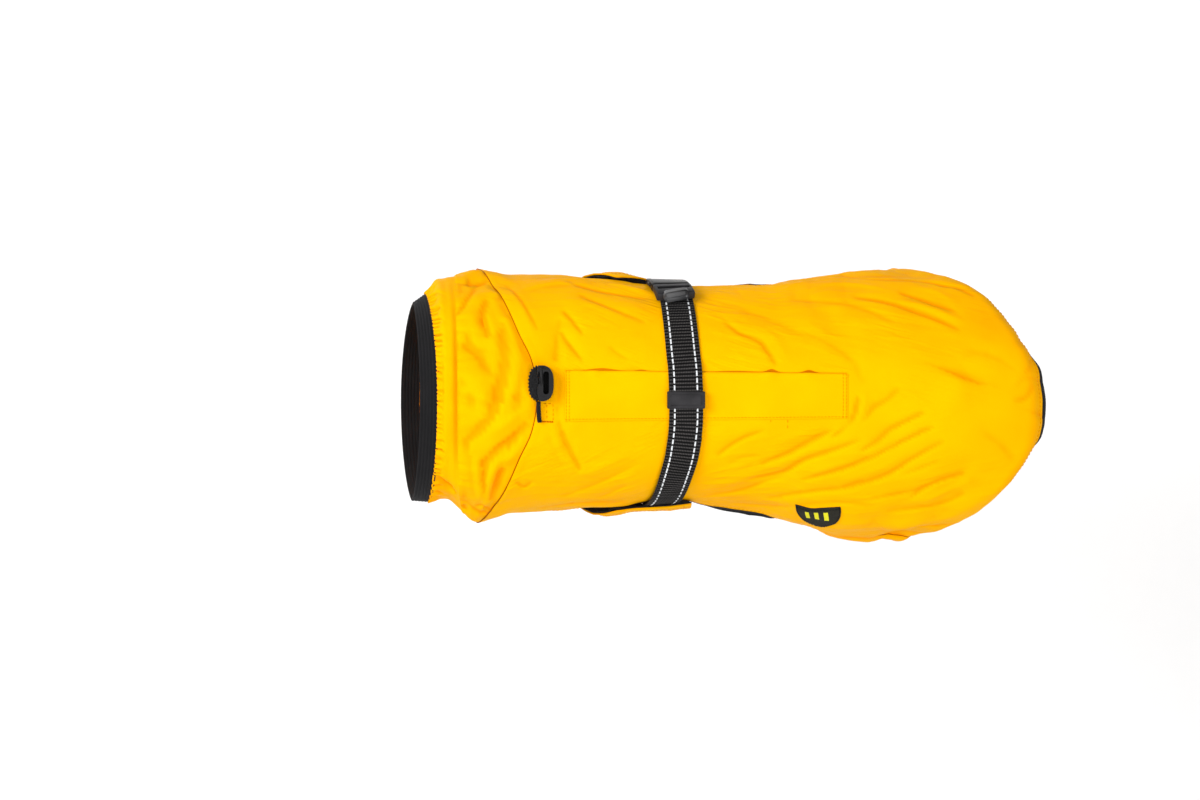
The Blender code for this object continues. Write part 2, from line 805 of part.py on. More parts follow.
def make_buckle_socket(plastic):
    half = BUCKLE_WIDE / 2
    top = BUCKLE_THICK
    outer = box_mesh("buckle_socket", (-half, SOCKET_START, 0), (half, SOCKET_END, top), 2.0, 3)
    made = new_object("buckle_socket", outer, plastic)
    inner = half - 2.2
    below, above = LOOP_START + 1, SOCKET_END + 3
    boolean(made, cutter("socket_hollow", (-inner, SOCKET_START - 3, 1.4), (inner, 10.5, top - 1.4)))
    boolean(made, cutter("socket_windows", (-half - 3, 2.5, 1.7), (half + 3, 10.5, top - 1.7)))
    boolean(made, cutter("socket_slot", (-TAB_ROOM, LOOP_START, -3), (TAB_ROOM, LOOP_END, top + 3)))
    boolean(made, cutter("under_loop_bar", (-TAB_ROOM, below, -3), (TAB_ROOM, above, LOOP_BAR_LOW)))
    boolean(made, cutter("over_loop_bar", (-TAB_ROOM, below, LOOP_BAR_HIGH), (TAB_ROOM, above, top + 3)))
    return wrapped(made, buckle_place)


def make_buckle_prongs(plastic):
    half = BUCKLE_WIDE / 2
    low, high = 1.9, BUCKLE_THICK - 1.9
    frame = box_mesh("buckle_prongs", (-half, BAR_END, BAR_LOW), (half, SOCKET_START - GAP, BUCKLE_THICK), 1.5)
    made = new_object("buckle_prongs", frame, plastic)
    boolean(made, cutter("belt_slot", (-BELT_ROOM, SLOT_START, -3), (BELT_ROOM, SLOT_END, BUCKLE_THICK + 3)))
    for side in (-1, 1):
        inner, outer = sorted((side * 7.4, side * 11.4))
        arm = box_mesh("prong", (inner, SOCKET_START - 2, low), (outer, 9.6, high), bevel=0.5, segments=1)
        prong = bpy.data.objects.new("prong_right" if side > 0 else "prong_left", arm)
        tip_in, tip_out = sorted((side * 7.4, side * 15.6))
        tip = box_mesh("tip", (tip_in, 3.2, low), (tip_out, 9.8, high), bevel=0.8, segments=1)
        point = bpy.data.objects.new("tip_right" if side > 0 else "tip_left", tip)
        for helper in (prong, point):
            bpy.data.collections["cutters"].objects.link(helper)
            helper.hide_render = True
            helper.display_type = "WIRE"
            boolean(made, helper, "UNION")
    return wrapped(made, buckle_place)


def make_buckle_tab(webbing):
    """Webbing from the loop bar down between the right wing and the back panel."""
    route = [Vector((0, y, z)) for y, z in zip(*TAB_ROUTE.values())]
    rings = []
    for i, middle in enumerate(route):
        along = (route[min(i + 1, len(route) - 1)] - route[max(i - 1, 0)]).normalized()
        lift = Vector((0, -along.z, along.y)) * TAB_THICK / 2
        half = Vector((TAB_WIDE / 2, 0, 0))
        corners = (middle - half - lift, middle + half - lift, middle + half + lift, middle - half + lift)
        rings.append([buckle_place(corner) for corner in corners])
    return ribbon("buckle_tab", rings, webbing)


# ---------------------------------------------------------------- cord lock and cord


def lock_outline(first, last, steps, teeth=0.0):
    """Part of the lock's oval, anticlockwise from the first angle to the last."""
    points = []
    for angle in spaced(first, last, steps):
        turn = math.radians(angle)
        reach = 1 + teeth * math.cos(turn * LOCK_TEETH)
        square = (abs(math.cos(turn)) ** 2.6 + abs(math.sin(turn)) ** 2.6) ** (-1 / 2.6)
        size = square * reach / 2
        points.append((math.cos(turn) * size * LOCK_WIDE, math.sin(turn) * size * LOCK_LONG))
    return points


def prism(name, outline, levels, finish):
    """A flat outline raised through levels of (height, share of its size)."""
    centre = [sum(point[i] for point in outline) / len(outline) for i in range(2)]
    rings = []
    for height, share in levels:
        ring = [
            Vector((centre[0] + (x - centre[0]) * share, centre[1] + (y - centre[1]) * share, height))
            for x, y in outline
        ]
        rings.append(ring)
    return ribbon(name, rings, finish)


def lock_place(target):
    for vert in target.data.vertices:
        place = vert.co / MM
        vert.co = Vector((LOCK_X + place.x, LOCK_Y + place.y, LOCK_LIFT + place.z)) * MM


def make_cord_lock(plastic):
    body = prism("cord_lock_body", lock_outline(-LOCK_SPLIT, LOCK_SPLIT, 32), LOCK_LEVELS, plastic)
    slide = prism(
        "cord_lock_slide", lock_outline(LOCK_SPLIT + 6, 360 - LOCK_SPLIT - 6, 24, 0.015), LOCK_LEVELS, plastic
    )
    for made in (body, slide):
        lock_place(made)
    return body, slide


def make_drawcord(elastic):
    route = list(zip(*CORD.values()))
    curve = bpy.data.curves.new("drawcord", "CURVE")
    curve.dimensions = "3D"
    curve.bevel_depth = CORD_RADIUS * MM
    curve.bevel_resolution = 2
    curve.use_fill_caps = True
    spline = curve.splines.new("POLY")
    spline.points.add(len(route) - 1)
    for point, place in zip(spline.points, route):
        point.co = (*[value * MM for value in place], 1)
    return new_object("drawcord", curve, elastic)


# ---------------------------------------------------------------- the whole coat


def clear_scene():
    for old in list(bpy.data.objects):
        bpy.data.objects.remove(old, do_unlink=True)
    for name in (COLLECTION, "cutters"):
        made = bpy.data.collections.new(name)
        bpy.context.scene.collection.children.link(made)


def main():
    clear_scene()
    yellow = material("coated_cloth", (1.0, 0.66, 0.0), 0.5)
    black = material("black_cloth", (0.02, 0.02, 0.022), 0.85)
    webbing = material("webbing", (0.025, 0.025, 0.027), 0.75)
    plastic = material("black_plastic", (0.03, 0.03, 0.033), 0.4)
    make_back_panel(yellow)
    make_back_binding(black)
    make_collar(yellow)
    make_neck_casing(yellow)
    make_neck_band(black)
    make_belly_panel(yellow)
    make_belly_lining(black)
    make_harness_flap(yellow)
    make_belt(webbing)
    make_belt_return(webbing)
    make_belt_keeper(plastic)
    make_buckle_socket(plastic)
    make_buckle_prongs(plastic)
    make_buckle_tab(webbing)
    make_cord_lock(plastic)
    make_drawcord(webbing)


main()
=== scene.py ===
# %% [markdown]
# # A dog's raincoat, as it is worn
#
# The coat is yellow coated cloth with a black ribbed elastic at the neck, a webbing belt over the back
# with a side-release buckle, and a toggle on the drawcord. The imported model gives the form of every
# piece. This lesson reads those forms, makes each of them again as fine, creased cloth or as moulded
# plastic, and sews it together.
#
# Run the cells from top to bottom. Every length is in metres, and MM turns millimetres into them.

import bpy
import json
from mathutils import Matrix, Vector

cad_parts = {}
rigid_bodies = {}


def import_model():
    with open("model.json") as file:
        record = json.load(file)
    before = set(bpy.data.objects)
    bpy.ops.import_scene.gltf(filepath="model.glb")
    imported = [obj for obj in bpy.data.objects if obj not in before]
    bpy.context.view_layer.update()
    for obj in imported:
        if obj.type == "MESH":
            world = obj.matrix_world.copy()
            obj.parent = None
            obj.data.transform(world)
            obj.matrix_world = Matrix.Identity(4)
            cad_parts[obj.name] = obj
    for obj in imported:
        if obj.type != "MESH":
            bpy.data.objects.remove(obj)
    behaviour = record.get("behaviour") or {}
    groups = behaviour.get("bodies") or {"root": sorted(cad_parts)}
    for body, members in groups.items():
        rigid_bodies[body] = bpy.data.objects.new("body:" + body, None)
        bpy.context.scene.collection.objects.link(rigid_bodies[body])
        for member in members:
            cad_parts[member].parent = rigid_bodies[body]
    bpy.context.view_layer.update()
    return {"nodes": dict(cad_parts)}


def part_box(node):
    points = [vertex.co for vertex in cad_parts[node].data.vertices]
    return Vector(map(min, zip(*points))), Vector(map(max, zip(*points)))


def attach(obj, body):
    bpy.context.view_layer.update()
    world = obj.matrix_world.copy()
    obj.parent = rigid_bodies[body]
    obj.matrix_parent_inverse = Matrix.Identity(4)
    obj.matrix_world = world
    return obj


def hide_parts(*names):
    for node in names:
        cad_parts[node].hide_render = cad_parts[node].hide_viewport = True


for leftover in list(bpy.data.objects):
    bpy.data.objects.remove(leftover)
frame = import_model()

import json
import math
import random
from contextlib import contextmanager

import bmesh
import numpy as np
from mathutils import Vector, noise
from mathutils.bvhtree import BVHTree
from mathutils.kdtree import KDTree

MM = 0.001
print("nodes:", ", ".join(sorted(frame["nodes"])))

# %% [markdown]
# ## Camera, floor and light
#
# The coat is looked at from straight above, with the head on the left. A camera that isn't turned at all
# looks down -Z, which is that view. The lens follows from how wide a strip of the back it takes in.

# %% The camera
EYE_HEIGHT = 1.3
EYE_ASIDE = -2.8 * MM
VIEW_WIDE = 0.84
SENSOR = 36.0

camera_data = bpy.data.cameras.new("camera")
camera_data.sensor_width = SENSOR
camera_data.lens = SENSOR * EYE_HEIGHT / VIEW_WIDE
camera = bpy.data.objects.new("camera", camera_data)
camera.location = (0, EYE_ASIDE, EYE_HEIGHT)
bpy.context.scene.collection.objects.link(camera)
bpy.context.scene.camera = camera
print(f"lens {camera_data.lens:.1f} mm")


# %% [markdown]
# Cloth looks soft under wide lamps. One wide lamp hangs over the head side, so that the back is brightest
# in the middle and its folds get a light and a dark side. The world fills the shade with plain white.

# %% Light and floor
def soft_lamp(name, place, aim, wide, power):
    """A square area lamp that looks at a point."""
    data = bpy.data.lights.new(name, "AREA")
    data.shape = "SQUARE"
    data.size = wide
    data.energy = power
    lamp = bpy.data.objects.new(name, data)
    lamp.location = place
    lamp.rotation_euler = (Vector(aim) - Vector(place)).to_track_quat("-Z", "Y").to_euler()
    bpy.context.scene.collection.objects.link(lamp)


soft_lamp("key", (-1.7, 0.7, 1.7), (0.05, 0, -0.03), 1.3, 53)
soft_lamp("fill", (0.8, -1.4, 2.0), (0.05, 0, -0.03), 2.4, 38)
soft_lamp("top", (0, 0, 2.4), (0.05, 0, 0), 1.6, 16)

world = bpy.data.worlds.new("studio")
world.use_nodes = True
world.node_tree.nodes["Background"].inputs["Color"].default_value = (1, 1, 1, 1)
world.node_tree.nodes["Background"].inputs["Strength"].default_value = 0.38
bpy.context.scene.world = world
bpy.context.scene.view_settings.view_transform = "Standard"

FLOOR_HEIGHT = -0.75
bpy.ops.mesh.primitive_plane_add(size=8, location=(0, 0, FLOOR_HEIGHT))
floor = bpy.context.object
floor.name = "floor"


# %% [markdown]
# ## Finishes
#
# A finish is a small graph of nodes. This class makes the material and adds one node at a time, with its
# settings and with values or links for its sockets, so that a whole finish reads as a few lines. Patterns
# on cloth read the piece's UV map, which this lesson lays out in metres, so a weave has its real size and
# follows the cloth.

# %% Helpers for finishes
class Finish:
    """A material and its shader, with the values that are the same all over. The tint is of all gloss."""

    def __init__(self, name, roughness, specular=0.5, sheen=0.0, tint=None, ior=1.45):
        self.material = bpy.data.materials.new(name)
        self.material.use_nodes = True
        self.tree = self.material.node_tree
        self.shader = self.tree.nodes["Principled BSDF"]
        constants = {"Roughness": roughness, "IOR": ior}
        constants.update({"Specular IOR Level": specular, "Sheen Weight": sheen})
        if tint:
            constants.update({"Specular Tint": (*tint, 1), "Sheen Tint": (*tint, 1)})
        for name, value in constants.items():
            self.join(self.shader.inputs[name], value)

    def join(self, socket, value):
        """Links a socket to an output, or gives it a constant."""
        if isinstance(value, bpy.types.NodeSocket):
            self.tree.links.new(value, socket)
        else:
            socket.default_value = value

    def add(self, kind, sockets=None, **settings):
        """A new shader node with its settings, and with values or links for its sockets."""
        made = self.tree.nodes.new("ShaderNode" + kind)
        for name, value in settings.items():
            setattr(made, name, value)
        for name, value in (sockets or {}).items():
            self.join(made.inputs[name], value)
        return made

    def math(self, operation, first, second=0.0):
        return self.add("Math", {0: first, 1: second}, operation=operation).outputs[0]

    def times(self, first, second):
        return self.math("MULTIPLY", first, second)

    def plus(self, first, second):
        return self.math("ADD", first, second)

    def away(self, value, middle):
        """How far a value is from a middle one."""
        return self.math("ABSOLUTE", self.math("SUBTRACT", value, middle))

    def stripes(self, coordinate, period):
        """A sine along a coordinate, from -1 to 1."""
        return self.math("SINE", self.times(coordinate, 2 * math.pi / period))

    def checks(self, across, period_across, along, period_along):
        """The stripes of two coordinates, crossed as in a weave."""
        return self.times(self.stripes(across, period_across), self.stripes(along, period_along))

    def between(self, value, low, high, out_low=0.0, out_high=1.0):
        sockets = {"Value": value, "From Min": low, "From Max": high, "To Min": out_low, "To Max": out_high}
        return self.add("MapRange", sockets).outputs["Result"]

    def cloud(self, vector, scale, detail=3.0):
        """Soft noise from 0 to 1, about 1 / scale metres across."""
        return self.add("TexNoise", {"Vector": vector, "Scale": scale, "Detail": detail}).outputs["Fac"]

    def blend(self, share, first, second):
        """A mix of two colours, each of them a link or three numbers."""
        made = self.add("Mix", data_type="RGBA")
        for index, value in ((0, share), (6, first), (7, second)):
            self.join(made.inputs[index], (*value, 1) if isinstance(value, tuple) else value)
        return made.outputs[2]

    def uv_parts(self):
        """The two distances of the UV map, across and along the piece, and the whole vector."""
        source = self.add("UVMap").outputs["UV"]
        parts = self.add("SeparateXYZ", {"Vector": source}).outputs
        return parts["X"], parts["Y"], source

    def place(self):
        return self.add("TexCoord").outputs["Object"]

    def colour(self, share, first, second):
        self.join(self.shader.inputs["Base Color"], self.blend(share, first, second))

    def roughness(self, value, low, high):
        """Roughness from low to high where a noise goes from its lower to its upper part."""
        self.join(self.shader.inputs["Roughness"], self.between(value, 0.3, 0.7, low, high))

    def bump(self, height, distance):
        made = self.add("Bump", {"Height": height, "Distance": distance})
        self.join(self.shader.inputs["Normal"], made.outputs["Normal"])
        return self.material


# %% [markdown]
# The yellow cloth is polyester with a thin coat: a fine plain weave that only just shows, a satin sheen
# that is itself yellow, and a colour that shifts a little where the coat is thicker. Soft noise moves the
# colour and the roughness, two crossed sines make the weave, and a second noise gives the slight crackle
# of coated cloth. Light that bounces about in a fold comes out as orange, and that is painted in as shade:
# the mesh carries an attribute, fold, and its share of a deeper orange, painted fold shade, is mixed in.

# %% Yellow coated cloth
YELLOW = (1.0, 0.47, 0.0)
YELLOW_DEEP = (0.98, 0.43, 0.0)
# painted shade: the orange at the bottom of a sharp fold
YELLOW_FOLD_SHADE = (1.0, 0.33, 0.0)  # at the bottom of a sharp fold
WEAVE = 0.45 * MM
WEAVE_DEEP = 0.012 * MM
WRINKLE_LONG, WRINKLE_THIN = 45 * MM, 10 * MM


def fine_wrinkles(cloth, place, across, middle, slant):
    """The crests, from 0 to 1, of long fine wrinkles that run along a piece and slant to its middle line."""
    aside = cloth.away(across, middle)
    along = cloth.add("SeparateXYZ", {"Vector": place}).outputs["Y"]
    lead = cloth.plus(aside, cloth.times(along, slant))
    run, lead = cloth.math("DIVIDE", along, WRINKLE_LONG), cloth.math("DIVIDE", lead, WRINKLE_THIN)
    drawn = cloth.add("CombineXYZ", {"X": run, "Y": lead, "Z": 0.3}).outputs["Vector"]
    shown = cloth.between(cloth.cloud(place, 26, 1), 0.45, 0.62)
    crests = cloth.between(cloth.away(cloth.cloud(drawn, 1.0, 2.0), 0.5), 0.0, 0.16, 1.0, 0.0)
    return cloth.times(crests, shown)


def coated_cloth(name, light, deep, middle=0.0, slant=0.0, wrinkle=0.0):
    cloth = Finish(name, 0.5, specular=0.12, sheen=0.06, tint=(1.0, 0.6, 0.02), ior=1.15)
    across, along, place = cloth.uv_parts()
    object_place = cloth.place()
    patches = cloth.between(cloth.cloud(object_place, 22), 0.35, 0.65)
    # painted shade in folds, whose share the fold attribute gives
    fold = cloth.add("Attribute", attribute_name="fold").outputs["Fac"]
    cloth.colour(fold, cloth.blend(patches, light, deep), YELLOW_FOLD_SHADE)
    cloth.roughness(cloth.cloud(object_place, 160), 0.4, 0.56)
    weave = cloth.checks(across, WEAVE, along, WEAVE)
    crackle = cloth.times(cloth.cloud(object_place, 420, 4), 3.0)
    height = cloth.times(cloth.plus(weave, crackle), WEAVE_DEEP / MM)
    if wrinkle:
        crests = fine_wrinkles(cloth, place, across, middle, slant)
        height = cloth.plus(height, cloth.times(crests, wrinkle))
    return cloth.bump(height, MM)


yellow_cloth = coated_cloth("yellow_cloth", YELLOW, YELLOW_DEEP)

# %% [markdown]
# Sewing thread is the same yellow, a little duller and darker, with the twist of its two plies as
# slanting stripes. Two deeper orange finishes made the same way are painted shade: in the drawcord's slit,
# and along the shoulder seam and the hem's fold.


# %% Thread
def thread_finish(name, colour, shade):
    thread = Finish(name, 0.6, specular=0.06, sheen=0.05, tint=colour)
    across, along, _ = thread.uv_parts()
    twist = thread.stripes(thread.plus(across, along), 0.5 * MM)
    thread.colour(thread.between(twist, -1, 1), shade, colour)
    return thread.bump(twist, 0.05 * MM)


yellow_thread = thread_finish("yellow_thread", (0.92, 0.38, 0.0), (0.7, 0.24, 0.0))
# painted shade: the deep orange of the thread bar in the drawcord's slit
slit_thread = thread_finish("slit_thread", (0.72, 0.15, 0.0), (0.45, 0.07, 0.0))
# painted shade: the dark orange of the lines along the shoulder seam and the hem's fold
seam_thread = thread_finish("seam_thread", (0.5, 0.13, 0.0), (0.34, 0.07, 0.0))
black_thread = thread_finish("black_thread", (0.02, 0.02, 0.021), (0.008, 0.008, 0.009))

# %% [markdown]
# Black binding tape, the lining and the neck elastic are all matt black, but each has its own structure:
# the tape is a diagonal twill, the lining a fine plain weave, and the elastic has ribs that run round the
# neck with the tiny chain of the knit between them. The braid of the cord and the grip of the toggle are
# made the same way.


# %% Black cloths
def black_weave(name, colour, dust, period_across, period_along, slant, depth, rough):
    """Dark cloth whose crowns are dusty; periods and depth are in millimetres."""
    cloth = Finish(name, rough, specular=0.12, sheen=0.05)
    across, along, _ = cloth.uv_parts()
    object_place = cloth.place()
    lead = cloth.plus(across, cloth.times(along, slant))
    weave = cloth.checks(lead, period_across * MM, along, period_along * MM)
    worn = cloth.times(cloth.between(weave, -0.2, 1.0), cloth.cloud(object_place, 60))
    cloth.colour(worn, colour, dust)
    return cloth.bump(weave, depth * MM)


tape = black_weave("binding_tape", (0.006, 0.006, 0.007), (0.03, 0.03, 0.032), 0.9, 0.7, 1.0, 0.1, 0.8)
lining_cloth = black_weave("lining_cloth", (0.006, 0.006, 0.007), (0.02, 0.02, 0.022), 0.6, 0.6, 0, 0.05, 0.7)
elastic = black_weave(
    "ribbed_elastic", (0.007, 0.0068, 0.0075), (0.03, 0.029, 0.031), 1.1, 0.8, 0.35, 0.12, 0.85
)
cord_cloth = black_weave(
    "braided_cord", (0.008, 0.008, 0.009), (0.04, 0.04, 0.042), 1.0, 1.0, 1.0, 0.15, 0.75
)

# %% [markdown]
# The belt is black webbing with two rows of white reflective thread. Across the belt the UV map runs from
# its middle, along it from its right end. The dashes are painted where the distance from the middle is
# that of a row and the distance along is in the dash part of its period; raised ribs are in the mesh
# itself.

# %% Webbing with reflective dashes
DASH_ROW = 7.9 * MM  # from the belt's middle
DASH_WIDE = 1.05 * MM
DASH_PERIOD = 5.0 * MM
DASH_LONG = 3.7 * MM
RIB_PERIOD = 2.6 * MM
BEAD_PERIOD = 1.15 * MM


def webbing_finish(name, dashes):
    strap = Finish(name, 0.62, specular=0.1, sheen=0.02)
    across, along, _ = strap.uv_parts()
    object_place = strap.place()
    crowns = strap.between(strap.stripes(along, RIB_PERIOD), -0.2, 0.8)
    beads = strap.between(strap.stripes(across, BEAD_PERIOD), -0.7, 0.7, 0.12, 1.0)
    grain = strap.times(crowns, beads)
    worn = strap.times(grain, strap.between(strap.cloud(object_place, 90), 0.2, 0.8, 0.6, 1.0))
    ground = ((0.002, 0.0019, 0.002), (0.1, 0.093, 0.09))
    if dashes:
        ground = strap.blend(worn, *ground)
        aside = strap.away(strap.math("ABSOLUTE", across), DASH_ROW)
        in_row = strap.math("LESS_THAN", aside, DASH_WIDE / 2)
        share = strap.math("FRACT", strap.math("DIVIDE", along, DASH_PERIOD))
        in_dash = strap.math("LESS_THAN", share, DASH_LONG / DASH_PERIOD)
        strap.colour(strap.times(in_row, in_dash), ground, (0.72, 0.74, 0.76))
    else:
        strap.colour(worn, *ground)
    return strap.bump(grain, 0.12 * MM)


webbing = webbing_finish("webbing", True)
plain_webbing = webbing_finish("plain_webbing", False)

# %% [markdown]
# Buckle, keeper and toggle are moulded black acetal: satin, with the faint grain of the mould, and a
# little paler in patches where hands have rubbed them. Wide soft noise gives the patches, fine noise the
# grain.


# %% Moulded plastic
def plastic_finish(name, colour, worn_and_highlight, roughness):
    plastic = Finish(name, roughness, specular=0.15)
    object_place = plastic.place()
    speckle = plastic.cloud(object_place, 2600, 2)
    blotch = plastic.cloud(object_place, 120, 3)
    plastic.colour(plastic.between(blotch, 0.3, 0.7), colour, worn_and_highlight)
    plastic.roughness(speckle, roughness - 0.08, roughness + 0.1)
    return plastic.bump(speckle, 0.02 * MM)


black_plastic = plastic_finish("black_plastic", (0.006, 0.0057, 0.0062), (0.012, 0.0114, 0.0124), 0.28)
# painted shade for the walls and floor of the toggle's recess
shaded_plastic = plastic_finish("shaded_plastic", (0.001, 0.001, 0.001), (0.002, 0.002, 0.002), 0.8)
grey_plastic = plastic_finish("worn_plastic", (0.018, 0.017, 0.0185), (0.03, 0.0285, 0.031), 0.42)


def brushed_plastic(name, colour, worn_and_highlight, x_highlight, x_dark):
    """Plastic with fine lines along it, with a painted highlight that makes it paler towards one end."""
    plastic = Finish(name, 0.42)
    object_place = plastic.place()
    drawn = plastic.add("Mapping", {"Vector": object_place, "Scale": (60, 1400, 60)}).outputs["Vector"]
    lines = plastic.cloud(drawn, 1.0, 2)
    x = plastic.add("SeparateXYZ", {"Vector": object_place}).outputs["X"]
    painted_highlight = plastic.times(plastic.between(x, x_dark, x_highlight), plastic.between(lines, 0.3, 0.7, 0.5, 1.0))
    plastic.colour(painted_highlight, colour, worn_and_highlight)
    plastic.roughness(lines, 0.34, 0.52)
    return plastic.bump(lines, 0.03 * MM)


# painted highlight: the buckle's face is paler towards its left end
brushed = brushed_plastic("brushed_plastic", (0.02, 0.0195, 0.021), (0.14, 0.14, 0.143), 45 * MM, 60 * MM)
rough_plastic = black_weave(
    "grip_plastic", (0.008, 0.0078, 0.0083), (0.06, 0.058, 0.062), 1.5, 1.3, 0.4, 0.25, 0.45
)

floor_paper = Finish("floor_paper", 0.9, specular=0.1)
floor_paper.colour(floor_paper.cloud(floor_paper.place(), 40), (0.98, 0.98, 0.98), (1.0, 1.0, 1.0))
floor.data.materials.append(floor_paper.material)
finishes = [made.name for made in bpy.data.materials if not made.name.startswith("Material")]
print("finishes:", ", ".join(finishes))

# %% [markdown]
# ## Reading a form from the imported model
#
# Each cloth node is a thin wall: an outer skin, an inner skin, and a rim. To make the cloth again, only
# the outer skin is wanted, as rows and columns of points. The skin is found by growing from the face that
# looks most straight out of the body over all edges that don't turn sharply. Its triangles are then read
# strip by strip.

# %% Skins
BODY_MIDDLE = -65 * MM  # the height of the wearer's middle
WELD = 1e-6


def out_of_body(point):
    return Vector((0, point[1], point[2] - BODY_MIDDLE)).normalized()


def outer_skin(node, limit, facing):
    """Points and triangles of a node's outer skin.

    The skin grows over edges that turn less than limit degrees, and to faces whose normal lies so near to
    straight out of the body that their product is over facing.
    """
    bm = bmesh.new()
    bm.from_mesh(frame["nodes"][node].data)
    bmesh.ops.remove_doubles(bm, verts=bm.verts, dist=WELD)
    bm.normal_update()

    def outward(face):
        return face.normal.dot(out_of_body(face.calc_center_median()))

    seed = max(bm.faces, key=outward)
    found, queue = {seed}, [seed]
    while queue:
        face = queue.pop()
        for other in {other for edge in face.edges for other in edge.link_faces} - found:
            if outward(other) > facing or other.normal.angle(face.normal) < math.radians(limit):
                found.add(other)
                queue.append(other)
    verts = sorted({vert for face in found for vert in face.verts}, key=lambda vert: vert.index)
    number = {vert: i for i, vert in enumerate(verts)}
    triangles = [[number[vert] for vert in face.verts] for face in sorted(found, key=lambda face: face.index)]
    points = np.array([vert.co for vert in verts])
    bm.free()
    return points, triangles


def rim_loops(across):
    """The closed chains of points along edges that have a triangle on one side only."""
    beside = {}
    for first, second in (tuple(edge) for edge, sides in across.items() if len(sides) == 1):
        beside.setdefault(first, []).append(second)
        beside.setdefault(second, []).append(first)
    loops = []
    while beside:
        loop, here = [], min(beside)
        while here is not None:
            loop.append(here)
            here = next((point for point in beside.pop(here) if point in beside), None)
        loops.append(loop)
    return loops


def corner_start(points, loop):
    """Turns the rim of an open grid to start at a corner; gives it and the number of points in a row."""
    total = len(loop) // 2 + 2
    root = math.isqrt(total * total - 4 * len(points))

    def sharpness(i):
        before, here, after = (points[loop[k % len(loop)]] for k in (i - 1, i, i + 1))
        return Vector(here - before).angle(Vector(after - here))

    def score(pair):
        start, first = pair
        return sum(sharpness(start + step) for step in (0, first - 1, total - 2, total + first - 3))

    sides = ((total + root) // 2, (total - root) // 2)
    start, first = max(((i, side) for i in range(len(loop)) for side in sides), key=score)
    return loop[start:] + loop[:start], first


# %% [markdown]
# A strip of triangles between two rows can be read like a zip: each edge of the known row has one
# triangle that hasn't been used, and its third point is either the last new one or the next new one.


# %% Rows and columns
def read_grid(node, limit=50, along="x", facing=1.0):
    """The outer skin of a node as an array of rows, columns and x, y, z.

    Rows follow each other along x, or for a strap along y from the right side, and a tube's rows are closed.
    """
    points, triangles = outer_skin(node, limit, facing)
    across = {}
    for number, triangle in enumerate(triangles):
        for i in range(3):
            edge = frozenset((triangle[i], triangle[(i + 1) % 3]))
            across.setdefault(edge, []).append((number, triangle[(i + 2) % 3]))
    used = set()

    def third(first, second):
        number, point = next(side for side in across[frozenset((first, second))] if side[0] not in used)
        used.add(number)
        return point

    def next_row(row, first, closed):
        fresh = [first]
        for here, ahead in zip(row, row[1:] + row[:1] if closed else row[1:]):
            point = third(here, ahead)
            if point == fresh[-1]:
                point = third(fresh[-1], ahead)
            else:
                third(here, point)
            fresh.append(point)
        return fresh[:len(row)]

    loops = rim_loops(across)
    closed = len(loops) == 2
    if closed:
        rows = [min(loops, key=lambda loop: points[loop][:, 0].mean())]
        for _ in range(len(points) // len(rows[0]) - 1):
            row = rows[-1]
            beside = {
                point for edge in across if row[0] in edge for point in edge
                if any(number not in used for number, _ in across[edge])
            } - set(row)
            spoke = out_of_body(points[row[0]])
            first = max(beside, key=lambda point: spoke.dot(out_of_body(points[point])))
            rows.append(next_row(row, first, True))
    else:
        loop, count = corner_start(points, loops[0])
        rows = [loop[:count]]
        for first in loop[::-1][:len(points) // count - 1]:
            rows.append(next_row(rows[-1], first, False))
    grid = points[np.array(rows)]
    axis = "xy".index(along)
    down, aside = grid[-1] - grid[0], grid[:, -1] - grid[:, 0]
    if not closed and abs(down[:, axis].mean()) < abs(aside[:, axis].mean()):
        grid = grid.swapaxes(0, 1)
    if (grid[-1] - grid[0])[:, axis].mean() * (1 if along == "x" else -1) < 0:
        grid = grid[::-1]
    around = np.cross(grid[1, 1] - grid[1, 0], grid[2, 0] - grid[1, 0])
    if Vector(around).dot(out_of_body(grid[1, 0])) < 0:
        grid = grid[:, ::-1]
    return grid


# %% [markdown]
# ## From a coarse form to fine cloth
#
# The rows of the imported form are 5 to 30 mm apart. A Catmull-Rom spline runs through them, first along
# and then across, and new points are set at even distances on it, with two extra lines close to each edge
# so that the edge can be rounded. What comes out is a net: dense, even rows and columns that still lie on
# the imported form. It becomes a mesh of four-sided faces with a UV map in metres.

# %% Nets
EDGE_LINES = (0.35 * MM, 0.9 * MM)
CURVE_STEPS = 12  # how many steps of a curve are measured between two points of the form


def unit(vectors):
    return vectors / np.maximum(np.linalg.norm(vectors, axis=-1, keepdims=True), 1e-12)


def run_lengths(points):
    """Distances along the first axis of points, from 0."""
    steps = np.linalg.norm(np.diff(points, axis=0), axis=-1)
    return np.concatenate([np.zeros((1,) + steps.shape[1:]), np.cumsum(steps, axis=0)])


